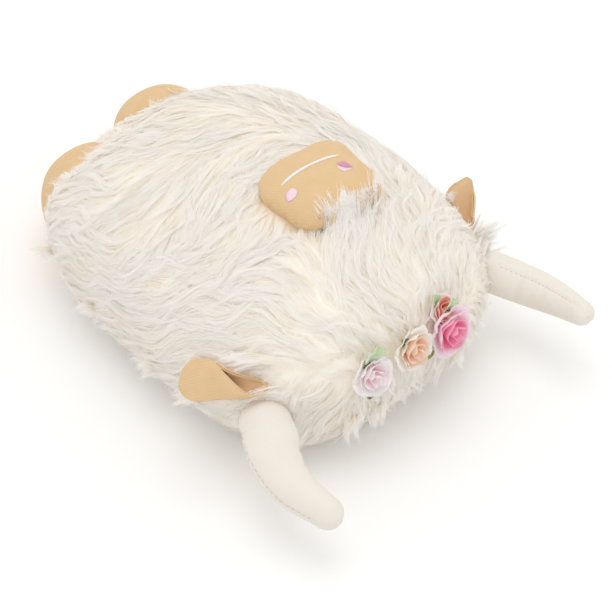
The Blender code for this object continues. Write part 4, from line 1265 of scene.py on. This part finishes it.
def ear_grid(side_name, lift, start, stop):
    """A leaf with its edges folded up; lift moves it off its own middle."""
    far, upper, lower, fold = along_ear(side_name, start, stop)
    across = np.linspace(-1.0, 1.0, EAR_COLUMNS)[None, :]
    wide = (lower - upper) / 2 + across * ((lower + upper) / 2)
    rise = fold * across**2
    ripple = 0.0008 * np.sin(far * 210 + 3 * across) * across**2
    inset = lift * 1.2 * across**7
    rise = rise + ripple * (fold > 0.001) + lift
    return np.stack((np.repeat(far, EAR_COLUMNS, 1), wide - inset, rise), -1)


def ear_front():
    """The leaf's lower side, turned over its hollow and up the whole tip."""
    fronts = np.array(EAR_FRONT) / 1000.0
    far, _, low, fold = along_ear("left", 0.0, 1.0)
    high = np.interp(far, fronts[:, 0], fronts[:, 1])
    across = np.linspace(0.0, 1.0, EAR_FRONT_COLUMNS)[None, :]
    crown = np.sin(math.pi * across) * (0.0014 + 0.12 * fold)
    wave = 0.0006 * np.sin(far * 260 + 2.0 * across)
    wide = low * (1 - across) - high * across
    return np.stack((np.repeat(far, EAR_FRONT_COLUMNS, 1), wide, fold + 0.0016 + crown + wave), -1)


ear_velour = velour("ear_velour", (0.772, 0.547, 0.320), (0.71, 0.485, 0.268), (0.2, 0.5, 0.1))
ear_lining = velour("ear_lining", (0.74, 0.515, 0.295), (0.66, 0.445, 0.240), (0.2, 0.5, 0.1))
# Painted shade: the lining turns dark brown towards the ear's root, where the folded hollow is in
# shade
painted_hollow_shade = ear_lining.between(ear_lining.on_map(1), 0.28, 0.62)
ear_lining.colour(ear_lining.mix(painted_hollow_shade, (0.66, 0.42, 0.23), ear_lining.cloth))

# For each leaf: the ends of its names here and in the CAD, its slot and finish,
# its lift off the middle, from where to where along the ear, and its thickness
EAR_LEAVES = (
    ("", "_back", "ear_velour", ear_velour, 0.0, 0.0, 1.0, 0.0015),
    ("_inside", "_lining", "ear_lining", ear_lining, 0.0014, 0.04, 0.985, 0.0010),
)

for side_name, (side, sweep, lean) in EARS.items():
    name = "ear_" + side_name
    sweep, lean = math.radians(sweep), math.radians(lean)
    ahead = Vector((side * math.cos(sweep), math.sin(sweep), 0.0))
    out = Vector((side * math.sin(sweep), -math.cos(sweep), 0.0))
    face = out * math.cos(lean) + Vector((0.0, 0.0, math.sin(lean)))
    place = (
        Matrix.Translation(hinges[name])
        @ Matrix((ahead, face.cross(ahead), face)).transposed().to_4x4()
    )
    for end, cad_end, slot, finish, lift, start, stop, thick in EAR_LEAVES:
        grids = [ear_grid(side_name, lift, start, stop)]
        if name + end == "ear_left":
            grids.append(ear_front())
        ear_mesh = cloth_mesh(name + end, grids)
        ear_mesh.transform(place)
        solid = ("SOLIDIFY", {"thickness": thick, "offset": 0.0})
        turned_edge = ("BEVEL", {"width": thick * 0.4, "segments": 2, "limit_method": "ANGLE"})
        ear = settled(shape_object(name + end, ear_mesh, solid, turned_edge))
        ear.data.materials.append(finish.material)
        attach(ear, name)
        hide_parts(name + cad_end)
        width, length, area = EAR_CUTS[name + end]


# Roses: craft roses of curled fabric petals round a rolled heart, each with its
# leaves, on wire stems that are pushed into the crown in a row
ROSE_RADIUS = 0.0125
ROSE_HEIGHT = 0.0105
HEART_RADIUS = 0.0094
HEART_HEIGHT = 0.0122
HEART_WINDS = 2.7
ROSE_SUNK = 0.0012
PETAL_FOOT = 0.0016
PETAL_CLOTH = ("SOLIDIFY", {"thickness": 0.00032, "offset": 0.0})
LEAF_CLOTH = ("SOLIDIFY", {"thickness": 0.0003, "offset": 0.0})
LEAF_LENGTH = 0.0125
LEAF_HALF = 0.0058
# The two rings of petals: how many, reach, height and half turn
PETAL_RINGS = ((5, 1.08, 0.80, 0.78), (4, 0.90, 1.02, 0.80))
# For each rose: its size, the shift of its visible part, its leaves (turn, size,
# which green, start), and the colours of petals and heart: middle, rim, depth,
# where the depth colour at the foot is partly the dye and partly painted shade
ROSES = {
    "blush": (
        1.10,
        (0.0, 0.0, -0.002),
        ((0.21, 1.1, 0, 0.0100), (0.30, 0.6, 1, 0.0080), (0.70, 0.5, 1, 0.0110)),
        ((0.99, 0.975, 0.975), (0.99, 0.985, 0.985), (0.985, 0.93, 0.94)),
        ((0.99, 0.93, 0.94), (0.99, 0.97, 0.975), (0.97, 0.80, 0.85)),
    ),
    "peach": (
        1.15,
        (-0.0005, 0.0, 0.0045),
        ((-0.10, 0.9, 1, 0.0100), (0.35, 0.7, 1, 0.0080)),
        ((0.99, 0.97, 0.93), (0.99, 0.98, 0.97), (0.98, 0.88, 0.78)),
        ((0.99, 0.84, 0.70), (0.99, 0.92, 0.85), (0.94, 0.62, 0.44)),
    ),
    "hot_pink": (
        1.34,
        (-0.0035, 0.0, 0.0025),
        ((0.24, 1.1, 0, 0.0150), (-0.14, 0.6, 1, 0.0080)),
        ((0.99, 0.88, 0.93), (0.99, 0.95, 0.97), (0.98, 0.65, 0.78)),
        ((0.99, 0.50, 0.71), (0.99, 0.71, 0.83), (0.91, 0.20, 0.43)),
    ),
    "coral": (
        0.84,
        (-0.0025, -0.0030, -0.0055),
        ((0.30, 0.7, 0, 0.0070),),
        ((0.99, 0.90, 0.89), (0.99, 0.95, 0.945), (0.975, 0.68, 0.62)),
        ((0.98, 0.59, 0.47), (0.99, 0.77, 0.69), (0.91, 0.35, 0.24)),
    ),
}


def petal_grid(reach, height, half_turn, middle_turn, curl, seed):
    """One cupped petal with a wavy rim that rolls out, round the rose's own axis."""
    own = np.random.default_rng(seed)
    rows, columns = 11, 15
    grid = np.zeros((rows, columns, 3))
    wobble = own.uniform(-1, 1, 4)
    for i in range(rows):
        along = i / (rows - 1)
        for j in range(columns):
            across = 2.0 * j / (columns - 1) - 1.0
            edge = (1.0 - 0.20 * across**4) * (1.0 + 0.08 * wobble[0] * across)
            angle = middle_turn + half_turn * across * (0.45 + 0.55 * along**0.6)
            spread = math.sin(along * math.pi / 2) ** 0.8
            radius = PETAL_FOOT + (reach - PETAL_FOOT) * spread * edge
            lift = height * along**1.3 * edge
            roll = max(0.0, along - 0.62) / 0.38
            radius += curl * 0.15 * reach * roll**1.6 * (1 + 0.4 * wobble[1])
            lift -= curl * 0.28 * height * roll**2
            wave = math.sin(4.2 * across + 3 * wobble[2]) + 0.5 * math.sin(9 * across + wobble[3])
            lift += 0.07 * height * wave * along**2
            radius -= 0.05 * reach * wave * along**2
            grid[i, j] = (radius * math.cos(angle), radius * math.sin(angle), lift)
    return grid


def rolled_grid(radius, height, winds, seed):
    """The heart: one ruffled strip rolled into a loose, uneven coil."""
    own = np.random.default_rng(seed)
    rows, columns = 9, 150
    grid = np.zeros((rows, columns, 3))
    shift = own.uniform(0, math.tau)
    phases = own.uniform(0, math.tau, 3)
    for j in range(columns):
        along = j / (columns - 1)
        angle = shift + winds * math.tau * along
        out = radius * (1.0 - 0.84 * along)
        ruffle = 0.5 * math.sin(5.3 * angle + phases[0]) + 0.5 * math.sin(2.7 * angle + phases[1])
        for i in range(rows):
            up = i / (rows - 1)
            flare = 0.45 + 0.62 * math.sin(up * math.pi / 2) + 0.10 * up**3
            flare *= 1.0 + 0.17 * ruffle * up**1.5
            rise = height * (0.10 + 0.90 * up) * (0.72 + 0.28 * along)
            rise += 0.09 * height * math.sin(3.9 * angle + phases[2]) * up**2
            grid[i, j] = (out * flare * math.cos(angle), out * flare * math.sin(angle), rise)
    return grid


def leaf_grid(size, start):
    """A short leaf, folded a little along its vein and curled up at its end."""
    rows, columns = 15, 11
    grid = np.zeros((rows, columns, 3))
    for i in range(rows):
        along = i / (rows - 1)
        half = size * LEAF_HALF * (0.10 + math.sin(math.pi * along**0.8) ** 0.8)
        for j in range(columns):
            across = j / 5 - 1.0
            rise = 0.0016 * across**2 + 0.0060 * size * math.sin(along * 1.9) + 0.0015
            grid[i, j] = (start + size * LEAF_LENGTH * along, half * across, rise)
    return grid


def petal_cloth(name, base, rim, depth):
    """Dyed petals: a deeper foot and a paler rim, with fine fabric grain. The deeper
    foot is partly the dye and partly painted shade, deep inside the rose.
    """
    made = Finish(name, 0.78, Sheen_Weight=0.15)
    made.let_through(0.38, base)
    # Painted shade, in part: the depth colour at the foot of each petal and at the bottom of the
    # heart darkens the inside of the rose, where shade falls
    made.colour(made.ramp(made.on_map(1), (0.0, depth), (0.45, base), (1.0, rim)))
    made.raise_by(made.noise(0.0005, detail=2.0), 0.00008)
    return made


def leaf_satin(name, vein, blade, rim):
    """A satin leaf with a darker vein down its middle."""
    made = Finish(name, 0.6, Sheen_Weight=0.05)
    made.let_through(0.10, rim)
    apart = made.node("ShaderNodeMath", {"operation": "ABSOLUTE"}, {0: made.on_map(0) - 0.5})
    made.colour(made.ramp(apart * 2.0, (0.0, vein), (0.10, blade), (1.0, rim)))
    made.raise_by(made.noise(0.0008, detail=2.0), 0.0001)
    return made


def cad_points(node):
    return np.array([v.co for v in frame["nodes"][node].data.vertices])


leaf_finishes = (
    leaf_satin("leaf_green", (0.46, 0.62, 0.32), (0.60, 0.77, 0.46), (0.70, 0.84, 0.56)),
    leaf_satin("leaf_olive", (0.16, 0.17, 0.05), (0.27, 0.29, 0.09), (0.38, 0.40, 0.16)),
)
stem_wrap = Finish("stem_green", 0.6)
stem_wrap.colour(stem_wrap.mix(stem_wrap.noise(0.001), (0.16, 0.24, 0.09), (0.26, 0.34, 0.15)))

for index, (rose_name, (size, shift, leaves, outer, inner)) in enumerate(ROSES.items()):
    rose = "rose_" + rose_name
    stem = cad_points(rose + "_stem")
    axis = Vector(cad_points(rose + "_heart").mean(0) - stem.mean(0)).normalized()
    up_the_stem = stem @ np.array(axis)
    base = Vector(stem[up_the_stem > up_the_stem.max() - 1e-4].mean(0))
    place = (
        Matrix.Translation(base + Vector(shift) - ROSE_SUNK * axis)
        @ axis.to_track_quat("Z", "Y").to_matrix().to_4x4()
    )
    petals = []
    for ring, (count, reach, height, half) in enumerate(PETAL_RINGS):
        for petal in range(count):
            petals.append(
                petal_grid(
                    reach * size * ROSE_RADIUS,
                    height * size * ROSE_HEIGHT,
                    half * math.tau / count * 0.75,
                    math.tau * (petal + 0.37 * ring) / count + index,
                    1.0 - 0.45 * ring,
                    100 * index + 10 * ring + petal,
                )
            )
    heart = rolled_grid(size * HEART_RADIUS, size * HEART_HEIGHT, HEART_WINDS, index)
    for end, cad_end, grids, colours in (
        ("_petal_rings", "_petals", petals, outer),
        ("_rolled_heart", "_heart", [heart], inner),
    ):
        mesh = cloth_mesh(rose + end, grids)
        mesh.transform(place)
        part = settled(shape_object(rose + end, mesh, PETAL_CLOTH))
        part.data.materials.append(petal_cloth(rose_name + cad_end, *colours).material)
        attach(part, "torso")
        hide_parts(rose + cad_end)
        rose_name + cad_end
    for letter, (leaf_turn, leaf_size, green, start) in zip("abc", leaves):
        name = rose + "_leaf_" + letter
        mesh = cloth_mesh(name, [leaf_grid(leaf_size, start)])
        mesh.transform(place @ Matrix.Rotation(math.tau * leaf_turn, 4, "Z"))
        leaf = settled(shape_object(name, mesh, LEAF_CLOTH))
        leaf.data.materials.append(leaf_finishes[green].material)
        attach(leaf, "torso")
        if letter == "a":
            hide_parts(rose + "_leaf")
    stem_materials = frame["nodes"][rose + "_stem"].data.materials
    stem_materials.clear()
    stem_materials.append(stem_wrap.material)
